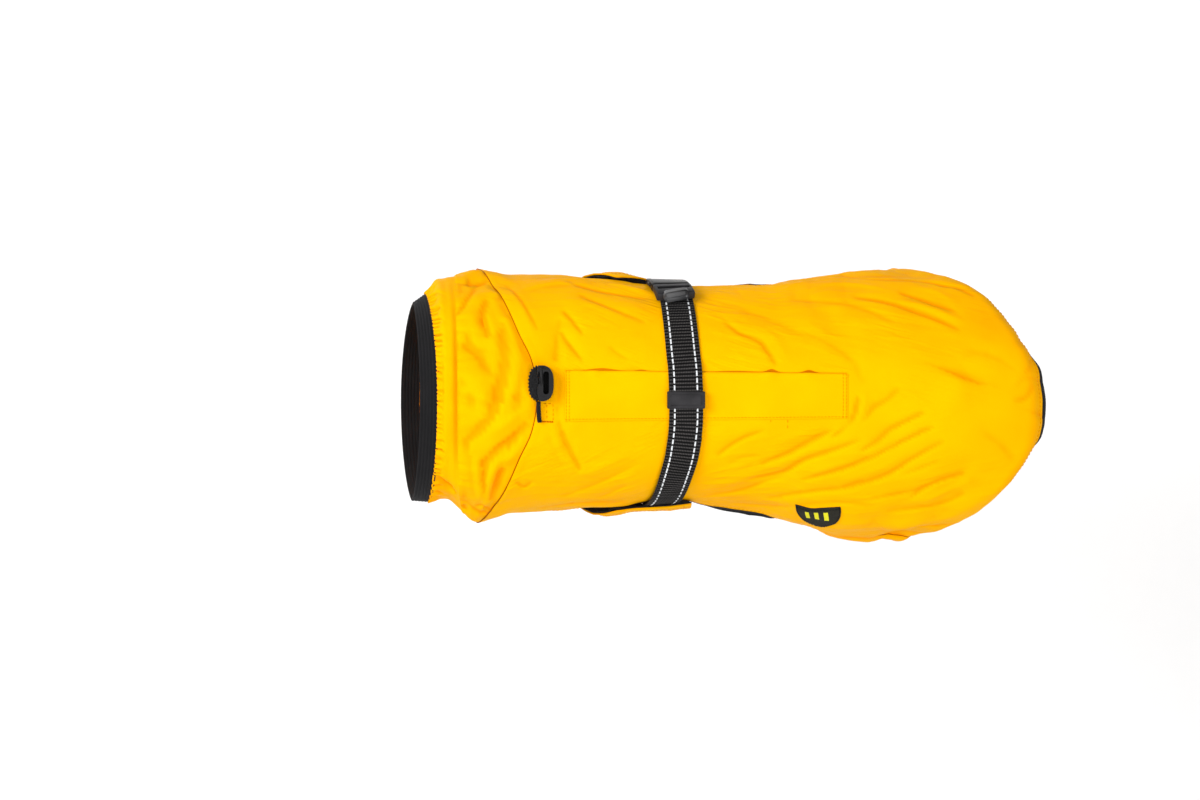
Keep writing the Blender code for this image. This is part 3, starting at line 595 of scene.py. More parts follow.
class Net:
    """Rows and columns of points, with the distances of its columns across and its rows along the piece."""

    def __init__(self, points, across, along, closed=False):
        self.points, self.across, self.along, self.closed = points, across, along, closed
        self.shape = points.shape[:2]

    def faces(self):
        number = np.arange(self.shape[0] * self.shape[1]).reshape(self.shape)
        right = np.roll(number, -1, axis=1) if self.closed else number[:, 1:]
        left = number if self.closed else number[:, :-1]
        return np.stack([left[:-1], right[:-1], right[1:], left[1:]], axis=-1).reshape(-1, 4)

    def tree(self):
        """The net as a tree that rays can be cast at."""
        return BVHTree.FromPolygons(self.points.reshape(-1, 3).tolist(), self.faces().tolist())

    def normals(self):
        """Unit normals, out of the body."""
        if self.closed:
            beside = np.roll(self.points, -1, axis=1) - np.roll(self.points, 1, axis=1)
        else:
            beside = np.gradient(self.points, axis=1)
        normals = unit(np.cross(np.gradient(self.points, axis=0), beside))
        spokes = self.points * (0, 1, 1) - (0, 0, BODY_MIDDLE)
        return normals if (normals * spokes).sum() > 0 else -normals

    def moved(self, heights, ups):
        """The net again, each point moved by its height along its way up."""
        return Net(self.points + ups * heights[..., None], self.across, self.along, self.closed)

    def turned(self):
        """The net with its rows as columns."""
        return Net(self.points.swapaxes(0, 1), self.along, self.across)

    def round_length(self):
        return self.across[-1] + self.across[1] - self.across[0]

    def edge_distances(self):
        """For each point its distances to the nearest end and side, and its way along the nearest edge."""
        across, along = np.meshgrid(self.across, self.along)
        end = np.minimum(along, self.along[-1] - along)
        side = np.minimum(across, self.across[-1] - across)
        return end, side, np.where(end < side, across, along)

    def mesh(self, name, uv=None):
        """A mesh whose faces look out of the body, with distances, or what is given, as its UV map."""
        faces = self.faces()
        places = np.stack(np.meshgrid(self.across, self.along), axis=-1) if uv is None else uv
        corners = places.reshape(-1, 2)[faces]
        if self.closed:
            corners[corners[:, 1, 0] < corners[:, 0, 0], 1:3, 0] = self.round_length()
        first, beside, ahead = self.points[0, 0], self.points[0, 1], self.points[1, 0]
        if np.cross(beside - first, ahead - first).dot(out_of_body(first)) < 0:
            faces, corners = faces[:, ::-1], corners[:, ::-1]
        mesh = bpy.data.meshes.new(name)
        mesh.from_pydata(self.points.reshape(-1, 3).tolist(), [], faces.tolist())
        mesh.uv_layers.new(name="UVMap").data.foreach_set("uv", corners.reshape(-1).astype(np.float32))
        mesh.shade_smooth()
        return mesh


# %% [markdown]
# Two helpers find values between the rows of a grid: one on a smooth curve, at fractional indices, and
# one on straight steps, at a distance.


# %% Splines through a grid
def through(points, at, closed=False):
    """Points of a Catmull-Rom spline along the first axis, at fractional indices."""
    if closed:
        padded = np.concatenate([points[-1:], points, points[:2]])
    else:
        padded = np.concatenate([2 * points[:1] - points[1:2], points, 2 * points[-1:] - points[-2:-1]])
    low = np.clip(np.floor(at).astype(int), 0, len(padded) - 4)
    t = (at - low).reshape((-1,) + (1,) * (points.ndim - 1))
    a, b, c, d = (padded[low + i] for i in range(4))
    return 0.5 * (2 * b + (c - a) * t + (2 * a - 5 * b + 4 * c - d) * t**2 + (3 * b - a - 3 * c + d) * t**3)


def value_at(lines, stops, distance):
    """Rows between rows, at a distance along the first axis."""
    low = min(int(np.searchsorted(stops, distance, side="right")) - 1, len(stops) - 2)
    share = (distance - stops[low]) / (stops[low + 1] - stops[low])
    return lines[low] * (1 - share) + lines[low + 1] * share


def places_at(stops, lengths, values):
    """Points or directions between those of a line, at many distances."""
    return np.stack([np.interp(stops, lengths, values[:, axis]) for axis in range(3)], axis=-1)


def even_stops(length, spacing, edges=()):
    """Distances from 0 to length, about spacing apart, with extra ones at these distances from both ends."""
    stops = list(np.linspace(0, length, max(2, round(length / spacing) + 1)))
    if edges:
        inner = [stop for stop in stops[1:-1] if edges[-1] * 1.6 < stop < length - edges[-1] * 1.6]
        stops = [0, *edges, *inner, *(length - edge for edge in reversed(edges)), length]
    return np.array(stops)


def fine_net(grid, closed, spacing, edges=EDGE_LINES, spacing_across=None):
    """The form again as a net with points about spacing apart."""
    index = np.linspace(0, len(grid) - 1, (len(grid) - 1) * CURVE_STEPS + 1)
    along = run_lengths(through(grid, index)).mean(axis=1)
    stops = even_stops(along[-1], spacing, edges)
    rows = through(grid, np.interp(stops, along, index)).swapaxes(0, 1)
    count = len(rows) if closed else len(rows) - 1
    dense = through(rows, np.linspace(0, count, count * CURVE_STEPS + 1), closed)
    lengths = run_lengths(dense)
    wide = lengths[-1].mean()
    shares = even_stops(wide, spacing_across or spacing, () if closed else edges) / wide
    if closed:
        shares = shares[:-1]
    points = [places_at(shares * lengths[-1, i], lengths[:, i], dense[:, i]) for i in range(len(stops))]
    return Net(np.array(points), shares * wide, stops, closed)


# %% [markdown]
# Solidify gives cloth a wall on its inner side. Cloth is smooth everywhere except at the cut edge. Every
# finished piece rides on the coat's one body, and the node of the imported model that it stands for is
# hidden.


# %% Pieces
CUT_EDGE_TURN = 60  # cloth is only sharp where it turns more than this, in degrees


def activate(made):
    """Selects one object alone and makes it the active one."""
    bpy.ops.object.select_all(action="DESELECT")
    made.select_set(True)
    bpy.context.view_layer.objects.active = made


def apply_modifiers(made):
    activate(made)
    for modifier in list(made.modifiers):
        bpy.ops.object.modifier_apply(modifier=modifier.name)


def smooth_shape(made, angle):
    """Smooth shading, with sharp edges where the surface turns more than angle degrees."""
    made.data.shade_smooth()
    made.data.set_sharp_from_angle(angle=math.radians(angle))


def new_piece(name, mesh, finish):
    made = bpy.data.objects.new(name, mesh)
    bpy.context.scene.collection.objects.link(made)
    mesh.materials.clear()
    mesh.materials.append(finish)
    return made


def finished(made, slot, *nodes):
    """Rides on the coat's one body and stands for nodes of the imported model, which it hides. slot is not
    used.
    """
    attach(made, "root")
    if nodes:
        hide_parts(*nodes)
    print(f"{made.name}: {sum(len(face.vertices) - 2 for face in made.data.polygons)} triangles")
    return made


def cloth_piece(name, net, finish, wall, fold=None, uv=None):
    wide, long = run_lengths(net.points.swapaxes(0, 1))[-1], run_lengths(net.points)[-1]
    print(f"{name}: {wide.min():.3f} to {wide.max():.3f} wide, {long.min():.3f} to {long.max():.3f} long")
    made = new_piece(name, net.mesh(name, uv), finish)
    # fold is the share of painted fold shade at each point
    if fold is not None:
        made.data.attributes.new("fold", "FLOAT", "POINT").data.foreach_set("value", fold.reshape(-1))
    solidify = made.modifiers.new("wall", "SOLIDIFY")
    solidify.thickness = wall
    solidify.offset = -1
    apply_modifiers(made)
    made.data.set_sharp_from_angle(angle=math.radians(CUT_EDGE_TURN))
    return made


# %% [markdown]
# ## Creases
#
# Each crease is a line on the cloth, soft at both ends. It is given by a few points as they are seen from
# one side of the coat, which are dropped onto the form and joined by a smooth curve. Heights over 0 are
# ridges and under 0 troughs. A lean makes one flank steeper than the other, as where cloth is pulled.

# %% Lines on a form
CREASE_STEPS = 5  # straight steps between two of a crease's points
CREASE_POINT = 1.5  # 2 is a round crease, less is a sharper one
CREASE_REACH = 3.5  # how many widths away a crease can still be felt
SIGHT = 0.4  # how far out a sight line starts, in metres
DOWN = Vector((0, 0, -1))


def seen_point(tree, side, x, other):
    """The point of a form seen at x and y from the top or below, or at x and z from the right or left."""
    ray = {"top": DOWN, "below": -DOWN, "right": Vector((0, -1, 0)), "left": Vector((0, 1, 0))}[side]
    start = Vector((x, other, 0) if ray.z else (x, 0, other)) - ray * SIGHT
    return tree.ray_cast(start, ray)[0] or tree.find_nearest(start + ray * SIGHT)[0]


def line_on(tree, side, places):
    """Points of a form along a smooth line through places, which are seen from a side, in millimetres."""
    at = np.linspace(0, len(places) - 1, CREASE_STEPS * (len(places) - 1) + 1)
    curve = through(np.array(places), at) * MM
    return np.array([seen_point(tree, side, x, other) for x, other in curve])


def away_from_line(points, normals, line):
    """For each point its distance from a line, how far along it lies from 0 to 1, and on which side."""
    best = np.full(len(points), np.inf)
    share, hand = np.zeros(len(points)), np.zeros(len(points))
    for i, (start, end) in enumerate(zip(line, line[1:])):
        run = end - start
        t = np.clip((points - start) @ run / max(run @ run, 1e-12), 0, 1)
        off = points - start - t[:, None] * run
        distance = np.linalg.norm(off, axis=1)
        nearer = distance < best
        best = np.where(nearer, distance, best)
        share = np.where(nearer, (i + t) / (len(line) - 1), share)
        hand = np.where(nearer, np.sign((np.cross(run, normals) * off).sum(axis=1)), hand)
    return best, share, hand


def crease(net, normals, line, width, height, lean):
    """The height of one crease along a line, at each point of a net; width and height are in millimetres."""
    points, ups = net.points.reshape(-1, 3), normals.reshape(-1, 3)
    heights = np.zeros(len(points))
    reach = width * MM * CREASE_REACH
    near = ((points > line.min(axis=0) - reach) & (points < line.max(axis=0) + reach)).all(axis=1)
    away, share, hand = away_from_line(points[near], ups[near], line)
    flank = width * MM * np.where(hand > 0, 1 - lean, 1 + lean)
    fade = np.sqrt(np.clip(4 * share * (1 - share), 0, 1))
    heights[near] = height * MM * fade * np.exp(-((away / flank) ** CREASE_POINT))
    return heights.reshape(net.shape)


def crease_heights(net, normals, creases):
    """The height of a table's creases at each point of a net."""
    tree = net.tree()
    heights = np.zeros(net.shape)
    for side, rows in creases:
        for width, height, lean, *places in rows:
            heights += crease(net, normals, line_on(tree, side, places), width, height, lean)
    return heights


# %% [markdown]
# Between the creases no cloth is quite even. Soft noise in space makes it crinkle, stretched noise makes
# thin wrinkles that are drawn along the cloth, and moving means take out what is too sharp.

# %% Unevenness
# the painted fold shade is full where a point lies this far below the mean around it
FOLD_SHADE_FULL = 0.55 * MM  # how far a point lies below the mean around it where the fold colour is full


def crinkle(net, size, seed, stretch=(1, 1, 1)):
    """Soft noise between about -1 and 1 at each point of a net; size is the width of a wrinkle in metres."""
    shift = Vector((seed * 7.1, seed * 3.3, seed * 5.7))
    places = net.points.reshape(-1, 3) * [1 / (size * by) for by in stretch]
    return np.array([noise.noise(Vector(place) + shift) for place in places]).reshape(net.shape)


def crinkled(net, rows):
    """The heights of a table's soft noise: height and size in millimetres, seed, and perhaps stretch."""
    return sum(height * MM * crinkle(net, size * MM, *rest) for height, size, *rest in rows)


def smooth_step(value, low, high):
    share = np.clip((value - low) / (high - low), 0, 1)
    return share * share * (3 - 2 * share)


def bell(distance, wide):
    """1 at 0, falling to 0 on both sides."""
    return np.exp(-((distance / wide) ** 2))


def smoothed(values, reach):
    """A moving mean along the first axis."""
    padded = np.concatenate([values[:1]] * reach + [values] + [values[-1:]] * reach)
    return sum(padded[i:i + len(values)] for i in range(2 * reach + 1)) / (2 * reach + 1)


def fold_shade_share(heights, reach=3):
    """The share of painted fold shade: 0 on ridges and smooth cloth, up to 1 at the bottom of narrow troughs.
    """
    mean = smoothed(smoothed(heights, reach).T, reach).T
    return np.clip((mean - heights) / FOLD_SHADE_FULL - 0.1, 0, 1)


def drawn_wrinkles(run, aside, slant, long, thin, seed):
    """Long thin wrinkles from 0 to 1 that cross the way of run at a slant; run and aside are distances."""
    lead = run / long
    cross = (aside + run * slant) / thin
    places = zip(lead.reshape(-1), cross.reshape(-1))
    values = [1 - 2 * abs(noise.noise(Vector((a, b, seed)))) for a, b in places]
    return np.clip(np.array(values), 0, 1).reshape(run.shape) ** 3


# %% [markdown]
# ## The back panel
#
# One large panel covers the back and both sides, from the shoulder seam to the tail. It is pulled by the
# belt and by its own weight, so its creases run in shallow fans from the belt over the rump. They are
# laid one by one: each row of the table is one crease.

# %% Creases of the back panel
BACK_CREASES = (
    ("top", (
        # width, height, lean, and the crease's points, x and y, in mm
        (2.0, -1.4, 0.3, (-27, 61), (-21, 55), (-12, 43)),
        (2.0, -1.4, 0.3, (-28, 46), (-23, 38), (-12, 24)),
        (2.9, 0.8, 0.0, (-22, 36), (-24, 27), (-21, 17)),
        (2.5, -0.6, 0.2, (6, 36), (11, 31), (20, 25)),
        (2.9, -1.5, 0.3, (-25, 83), (0, 76), (40, 69)),
        (2.9, -1.3, 0.3, (-16, 73), (7, 63), (33, 52)),
        (3.2, 1.2, 0.1, (7, 82), (23, 78), (39, 74)),
        (4.3, 0.7, 0.1, (-29, 68), (-7, 65), (18, 56)),
        (3.2, -1.3, 0.2, (-28, 56), (-31, 36), (-31, 11), (-29, -18)),
        (2.4, -1.7, 0.35, (-29, -17), (-25, -32), (-14, -53)),
        (2.9, 1.0, 0.1, (-33, -20), (-29, -35), (-19, -55)),
        (3.6, 0.7, 0.1, (-18, -31), (-14, -42), (-9, -51)),
        (4.3, -1.2, 0.3, (-29, -73), (0, -62), (28, -47)),
        (3.2, -0.8, 0.3, (-3, -74), (9, -69), (20, -63)),
        (4.7, 0.8, 0.1, (-25, -59), (0, -51), (25, -38)),
        (5.0, -1.0, 0.3, (72, 69), (101, 62), (130, 50), (150, 38)),
        (2.3, -1.7, 0.35, (87, 54), (98, 45), (112, 39), (118, 31), (124, 20)),
        (3.6, 0.9, 0.1, (102, 53), (118, 46), (127, 35), (131, 24)),
        (4.3, -0.8, 0.3, (142, 47), (164, 35), (177, 24), (184, 8)),
        (2.0, -1.8, 0.4, (180, 0), (178, -11), (173, -20), (161, -30)),
        (2.5, 1.0, 0.1, (186, 3), (184, -10), (180, -20)),
        (3.6, -1.0, 0.3, (136, 69), (178, 65), (209, 52)),
        (2.2, -1.9, 0.4, (181, 71), (204, 67), (233, 57), (255, 46)),
        (2.4, 1.4, 0.0, (214, 68), (234, 63), (257, 53)),
        (2.2, -1.6, 0.4, (214, 74), (230, 69), (254, 60)),
        (2.6, 0.8, 0.0, (224, 79), (241, 75), (253, 67)),
        (2.2, -1.9, 0.4, (175, 92), (187, 87), (207, 85), (235, 83), (252, 77)),
        (2.4, -1.2, 0.4, (240, 82), (257, 77), (270, 70)),
        (3.2, 0.8, 0.1, (147, 81), (176, 81), (205, 78)),
        (2.3, -1.6, 0.35, (82, -43), (97, -32), (117, -23)),
        (3.6, -0.8, 0.3, (90, -48), (104, -43), (121, -42)),
        (2.3, -2.0, 0.4, (113, -49), (135, -40), (152, -30), (169, -20)),
        (3.6, 0.9, 0.1, (120, -36), (139, -28), (157, -20)),
        (2.6, -1.9, 0.4, (104, -60), (129, -55), (144, -46), (157, -41), (185, -30)),
        (2.9, 0.8, 0.1, (106, -53), (128, -48), (150, -38), (171, -30)),
        (2.4, -1.9, 0.4, (182, -40), (195, -32), (205, -23), (228, -11)),
        (2.9, 0.9, 0.1, (188, -44), (206, -33), (223, -22)),
        (3.2, -1.1, 0.3, (180, -22), (191, -9), (200, -3), (211, 6)),
        (2.4, -2.0, 0.4, (142, -60), (166, -54), (186, -46), (212, -32), (235, -21)),
        (2.9, 0.9, 0.1, (170, -60), (193, -53), (216, -40)),
        (2.4, -1.8, 0.4, (172, -67), (201, -57), (218, -46), (242, -31)),
        (2.5, -0.8, 0.3, (212, -56), (225, -51), (240, -45)),
        (2.3, -1.8, 0.4, (220, -73), (237, -62), (259, -54)),
        (2.6, 1.0, 0.1, (230, -76), (246, -67), (262, -60)),
        (2.9, -1.1, 0.3, (191, -73), (214, -69), (235, -64)),
        (3.2, -1.1, 0.3, (205, -83), (241, -77), (260, -68)),
        (3.6, -1.4, 0.35, (73, -73), (101, -68), (119, -61), (140, -55)),
        (3.2, -1.4, 0.35, (120, -74), (145, -69), (172, -66), (188, -60)),
        (4.0, 0.8, 0.1, (72, -66), (97, -60), (118, -53)),
        (4.3, -1.0, 0.3, (88, -77), (125, -80), (168, -76), (198, -78)),
        (1.9, -1.1, 0.3, (-69, 81), (-59, 72), (-51, 60), (-44, 46)),
        (2.0, -1.2, 0.3, (-60, -61), (-54, -65), (-48, -61)),
        (12.0, 1.5, 0.0, (100, 76), (125, 79), (152, 81)),
        (15.0, 2.4, 0.0, (240, 84), (262, 78), (282, 66), (299, 47), (309, 28), (312, 12)),
        (13.0, 3.2, 0.0, (206, -96), (225, -92), (248, -86), (270, -74), (289, -58), (304, -36),
         (311, -14)),
        (10.0, 1.4, 0.0, (130, -76), (150, -82), (172, -88), (194, -92)),
        (5.0, -0.7, 0.2, (256, 32), (275, 28), (295, 17)),
        (2.9, -0.8, 0.3, (291, -4), (301, -1), (308, 8)),
        (5.0, -0.7, 0.2, (267, -24), (283, -35), (293, -47)),
        (2.9, 1.1, 0.4, (-58, 76), (-32, 81), (-6, 81)),
        (4.3, -1.4, 0.3, (-45, -82), (-13, -78), (20, -77)),
    )),
    ("left", (
        # width, height, lean, and the crease's points, x and z, in mm
        (7.0, -2.4, 0.3, (150, -78), (207, -73), (262, -58)),
        (7.0, 1.4, 0.2, (120, -66), (179, -49), (240, -40)),
        (7.0, -1.6, 0.3, (-40, -60), (-9, -72), (20, -90)),
        (7.0, 1.2, 0.2, (-20, -48), (11, -57), (40, -70)),
        (8.0, -1.4, 0.0, (220, -60), (221, -108)),
        (14.0, 3.4, 0.0, (244, -50), (245, -84)),
    )),
    ("right", (
        # width, height, lean, and the crease's points, x and z, in mm
        (7.0, -2.3, 0.3, (140, -70), (194, -56), (250, -52)),
        (7.0, -1.8, 0.3, (110, -60), (169, -76), (230, -84)),
        (7.0, -1.8, 0.3, (-46, -52), (-7, -65), (30, -84)),
        (7.0, 1.2, 0.2, (-56, -40), (-17, -53), (24, -62)),
        (15.0, -1.9, 0.0, (226, -54), (226, -104)),
    )),
)

# %% [markdown]
# Where the belt, the flap, the buckle and the toggle press on the cloth it stays flat, so the creases
# fade out there. The front edge and the hem are folded over and stitched: there the cloth is doubled,
# with a shallow groove along the stitches and small puckers beside them.

# %% The back panel's net
CLOTH_WALL = 1.0 * MM
BACK_SPACING = 1.5 * MM
HEM_WIDE = 7.0 * MM
HEM_RAISE = 0.3 * MM
PUCKER_HEIGHT, PUCKER_PERIOD, PUCKER_REACH = 0.16 * MM, 6.5 * MM, 6 * MM
GROOVE_DEEP, GROOVE_WIDE, GROOVE_INSIDE = 0.25 * MM, 0.7 * MM, 1.2 * MM
EDGE_ROUND, EDGE_REACH = 0.5 * MM, 0.4 * MM
BELT_PRESSES = (12 * MM, 26 * MM)  # flat up to the first distance from the belt's middle, then freer
UNDER_PIECE = 20 * MM  # cloth this far below a piece is on the other side of the body
BACK_CRINKLES = (
    # height and size in mm, seed, stretch
    (0.35, 26, 1, (1.6, 1, 1)),
    (0.12, 9, 2),
)
WRINKLE_HIGH = 0.45 * MM
WRINKLE_SLANT = 0.38  # they run in towards the spine as they near the tail
RUMP_WRINKLES = (WRINKLE_SLANT, 42 * MM, 9 * MM, 3.7)  # slant, length, width, seed
WAIST_WRINKLES = (-0.1, 50 * MM, 10 * MM, 8.3)
RUMP_STARTS, RUMP_ENDS, RUMP_ASIDE = (95 * MM, 150 * MM), (300 * MM, 340 * MM), (18 * MM, 42 * MM)
WAIST_ENDS, WAIST_ASIDE, WAIST_SHARE = (80 * MM, 130 * MM), (30 * MM, 60 * MM), 0.6
HEM_FOLD = (1.5, -1.6, 0.3)  # its width, height and lean
HEM_FOLD_FROM, HEM_FOLD_TO, HEM_FOLD_INWARD = 200 * MM, 284 * MM, 0.0022
ROLL_SWELL, ROLL_SWELL_AT, ROLL_SWELL_WIDE = 0.5 * MM, 10 * MM, 6 * MM
ROLL_IN, ROLL_IN_WIDE = 3.4 * MM, 5 * MM
ROLL_BUCKLE = ((92 * MM, 104 * MM), (122 * MM, 134 * MM))  # not between these on the right, beside the buckle
ROLL_LEFT = (142 * MM, 160 * MM)
TAIL_STARTS, TAIL_MIDDLE, TAIL_ASIDE = (285 * MM, 300 * MM), -5 * MM, (22 * MM, 36 * MM)


def band(distance, wide, soft):
    """1 within wide of an edge, 0 beyond, with a soft step."""
    return 1 - smooth_step(distance, wide - soft / 2, wide + soft / 2)


def sewn_edge(distance, run, seed):
    """The height of a folded, stitched edge at a distance from it, where run is the way along it."""
    doubled = HEM_RAISE * band(distance, HEM_WIDE, 1.6 * MM)
    groove = -GROOVE_DEEP * bell(distance - HEM_WIDE + GROOVE_INSIDE, GROOVE_WIDE)
    rounded = -EDGE_ROUND * bell(distance, EDGE_REACH)
    wander = np.sin(run / PUCKER_PERIOD * 1.3 + seed) + 0.6 * np.sin(run / PUCKER_PERIOD * 3.1 + 2.0 * seed)
    puckers = PUCKER_HEIGHT * wander * bell(distance - HEM_WIDE, PUCKER_REACH)
    return doubled + groove + rounded + puckers


def pressed_flat(net):
    """0 under the belt, rising to 1 at a distance from it."""
    points = net.points.reshape(-1, 3)
    away, _, _ = away_from_line(points, np.zeros_like(points) + (0, 0, 1), belt_grid.mean(axis=1))
    return smooth_step(away, *BELT_PRESSES).reshape(net.shape)


def beyond_box(net, node, margin):
    """0 inside a node's box as seen from the top, rising to 1 at margin beyond it."""
    low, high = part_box(node)
    x, y, z = np.moveaxis(net.points, -1, 0)
    outside = np.maximum(np.maximum(low[0] - x, x - high[0]), np.maximum(low[1] - y, y - high[1]))
    return smooth_step(np.where(z < low[2] - UNDER_PIECE, margin, outside), 0, margin)


def turning_line(net, x_from, x_to, inward):
    """A line along the left flank, a little inside where the flank turns out of sight of someone above.

    How far inside is given as a slope: metres aside for each metre below the eye.
    """
    line = []
    for row in net.points:
        slope = (row[:, 1] - camera.location.y) / (camera.location.z - row[:, 2])
        number = outermost = np.argmin(slope)
        toward = 1 if outermost < len(row) / 2 else -1
        wanted = slope[outermost] + inward
        while slope[number] < wanted:
            number += toward
        share = (wanted - slope[number - toward]) / (slope[number] - slope[number - toward])
        point = row[number - toward] * (1 - share) + row[number] * share
        if x_from < point[0] < x_to:
            line.append(point)
    return smoothed(np.array(line), 5)


def rolled_under(net, from_hem):
    """Heights that make the rump's hem turn in, so that cloth and not tape is outermost; not at the tail."""
    x, y = net.points[..., 0], net.points[..., 1]
    before, behind = ROLL_BUCKLE
    right = smooth_step(x, *behind) + 1 - smooth_step(x, *before)
    here = np.where(y > 0, right, smooth_step(x, *ROLL_LEFT))
    at_tail = smooth_step(x, *TAIL_STARTS) * (1 - smooth_step(np.abs(y - TAIL_MIDDLE), *TAIL_ASIDE))
    swell = ROLL_SWELL * bell(from_hem - ROLL_SWELL_AT, ROLL_SWELL_WIDE)
    return here * (1 - at_tail) * (swell - ROLL_IN * bell(from_hem, ROLL_IN_WIDE))


belt_grid = read_grid("belt", 50, "y")
back_grid = read_grid("back_panel")
for corner, beside in ((0, 1), (-1, -2)):  # the hem's corners before the tail are rounded
    neighbours = back_grid[-2, corner] + back_grid[-1, beside]
    back_grid[-1, corner] = 0.3 * back_grid[-1, corner] + 0.35 * neighbours
back_form = fine_net(back_grid, False, BACK_SPACING)
back_normals = back_form.normals()
print("back net", back_form.shape)

back_free = pressed_flat(back_form) * beyond_box(back_form, "cord_lock_body", 6 * MM)
back_free *= 0.35 + 0.65 * beyond_box(back_form, "harness_flap", 8 * MM)
back_heights = crease_heights(back_form, back_normals, BACK_CREASES) * back_free
back_heights += crinkled(back_form, BACK_CRINKLES) * back_free
swollen = back_form.moved(back_heights, back_normals)
hem_fold = turning_line(swollen, HEM_FOLD_FROM, HEM_FOLD_TO, HEM_FOLD_INWARD)
back_heights += crease(swollen, back_normals, hem_fold, *HEM_FOLD)
back_fold_shade = fold_shade_share(back_heights)

across, run = np.meshgrid(back_form.across, back_form.along)
from_spine = np.abs(across - back_form.across[-1] / 2)
rump = smooth_step(run, *RUMP_STARTS) * (1 - smooth_step(run, *RUMP_ENDS))
rump *= smooth_step(from_spine, *RUMP_ASIDE)
waist = smooth_step(from_spine, *WAIST_ASIDE) * (1 - smooth_step(run, *WAIST_ENDS))
wrinkles = rump * drawn_wrinkles(run, from_spine, *RUMP_WRINKLES)
wrinkles += WAIST_SHARE * waist * drawn_wrinkles(run, from_spine, *WAIST_WRINKLES)
back_heights += WRINKLE_HIGH * wrinkles * back_free

end, side, way = back_form.edge_distances()
back_heights += np.where(end < side, sewn_edge(end, way, 1), sewn_edge(side, way, 2))
back_heights += rolled_under(back_form, np.minimum(side, back_form.along[-1] - run))
back_net = back_form.moved(back_heights, back_normals)
back_cloth = coated_cloth("back_cloth", YELLOW, YELLOW_DEEP, back_net.across[-1] / 2, WRINKLE_SLANT, 0.35)
back = cloth_piece("raincoat_back", back_net, back_cloth, CLOTH_WALL, back_fold_shade)
finished(back, "coated_cloth", "back_panel")
back_tree = back_net.tree()
back_ups = back_net.normals()

# %% [markdown]
# ## The collar
#
# The collar is a ring of the same cloth, sewn to the back panel at the shoulders and gathered at its
# front edge. It is held up by the neck inside and has more cloth than it needs, so it sits in deep, soft
# folds. The largest are laid one by one, as on the back, and the gathers at the front edge fade into them.

# %% Folds of the collar
COLLAR_CREASES = (
    ("top", (
        # width, height, lean, and the crease's points, x and y, in mm
        (2.0, -0.7, 0.2, (-95, 87), (-93, 79)),
        (2.2, -1.3, 0.3, (-86, 83), (-91, 76), (-95, 69), (-98, 63), (-102, 57)),
        (3.0, -2.3, 0.3, (-81, 69), (-83, 60), (-82, 51), (-78, 41)),
        (7.5, -1.2, 0.2, (-100, 33), (-87, 33), (-74, 32)),
        (5.0, 0.6, 0.1, (-98, 3), (-92, 4), (-86, 1)),
        (2.2, 0.8, 0.1, (-74, 33), (-75, 43), (-73, 51)),
        (3.6, -1.4, 0.2, (-71, 48), (-69, 36), (-68, 22), (-71, 9), (-76, -4), (-81, -15)),
        (3.2, 1.8, 0.1, (-72, 54), (-66, 53), (-62, 43), (-59, 31), (-58, 18), (-60, 6), (-66, -5),
         (-72, -17), (-79, -25)),
        (2.0, -0.3, 0.2, (-56, 31), (-55, 17), (-57, 6), (-61, -3)),
        (2.2, 0.7, 0.0, (-50, 24), (-49, 8), (-50, -6)),
        (3.0, 1.3, 0.1, (-48, -6), (-57, -12), (-66, -19), (-74, -25), (-81, -28)),
        (3.2, -2.0, 0.3, (-51, -18), (-58, -26), (-65, -32), (-72, -37), (-79, -44), (-84, -50)),
        (2.8, 1.5, 0.1, (-55, -34), (-63, -42), (-71, -46), (-75, -52), (-79, -63), (-82, -73)),
        (2.4, -2.2, 0.3, (-69, -50), (-72, -57), (-75, -65), (-79, -74)),
        (2.0, -0.7, 0.2, (-56, -25), (-61, -33), (-66, -39)),
        (2.8, 1.4, 0.1, (-86, -42), (-86, -58), (-86, -76)),
        (2.6, -1.6, 0.3, (-82, -44), (-83, -58), (-82, -72)),
        (2.0, -1.2, 0.2, (-90, -81), (-84, -79), (-80, -82)),
        (2.2, -4.4, 0.0, (-109, -64), (-104, -71), (-98, -83)),
    )),
    ("right", (
        # width, height, lean, and the crease's points, x and z, in mm
        (5.0, -2.1, 0.3, (-104, -32), (-82, -45), (-66, -64)),
        (5.5, 1.8, 0.2, (-98, -50), (-76, -64), (-62, -86)),
        (5.0, -2.1, 0.3, (-104, -62), (-84, -78), (-70, -100)),
        (4.5, 1.6, 0.2, (-86, -26), (-70, -32), (-58, -44)),
    )),
    ("left", (
        # width, height, lean, and the crease's points, x and z, in mm
        (5.0, -2.0, 0.3, (-102, -28), (-87, -46), (-66, -58)),
        (5.5, 1.7, 0.2, (-100, -48), (-85, -67), (-64, -80)),
        (5.0, -2.1, 0.3, (-104, -66), (-91, -88), (-72, -104)),
    )),
    ("below", (
        # width, height, lean, and the crease's points, x and y, in mm
        (6.0, -2.0, 0.3, (-104, 44), (-87, 30), (-74, 12)),
        (6.0, -2.0, 0.3, (-104, -40), (-86, -26), (-72, -8)),
        (6.0, 1.6, 0.2, (-98, 22), (-84, 4), (-78, -18)),
    )),
)
COLLAR_SPACING = 1.5 * MM
COLLAR_LOOSE = 1.25  # how much deeper the collar's folds are than in the table
COLLAR_CRINKLES = ((0.25, 20, 4), (0.15, 8, 5))  # height and size in mm, seed
COLLAR_WRINKLES = (0.35, 34 * MM, 17 * MM, 5.1)  # slant, length, width, seed
COLLAR_WRINKLE_HIGH = 0.25 * MM
COLLAR_GATHERS = (6, 9, 0.7, 14, 0.0)  # seed; period, depth and reach in mm; slant
FOLD_DEEP, FOLD_REACH = 0.8 * MM, 1.5 * MM  # the crease between the collar and the casing
UNDER_PANEL, UNDER_PANEL_SOFT = 7 * MM, 6 * MM  # so far from its last row it lies flat under the panel
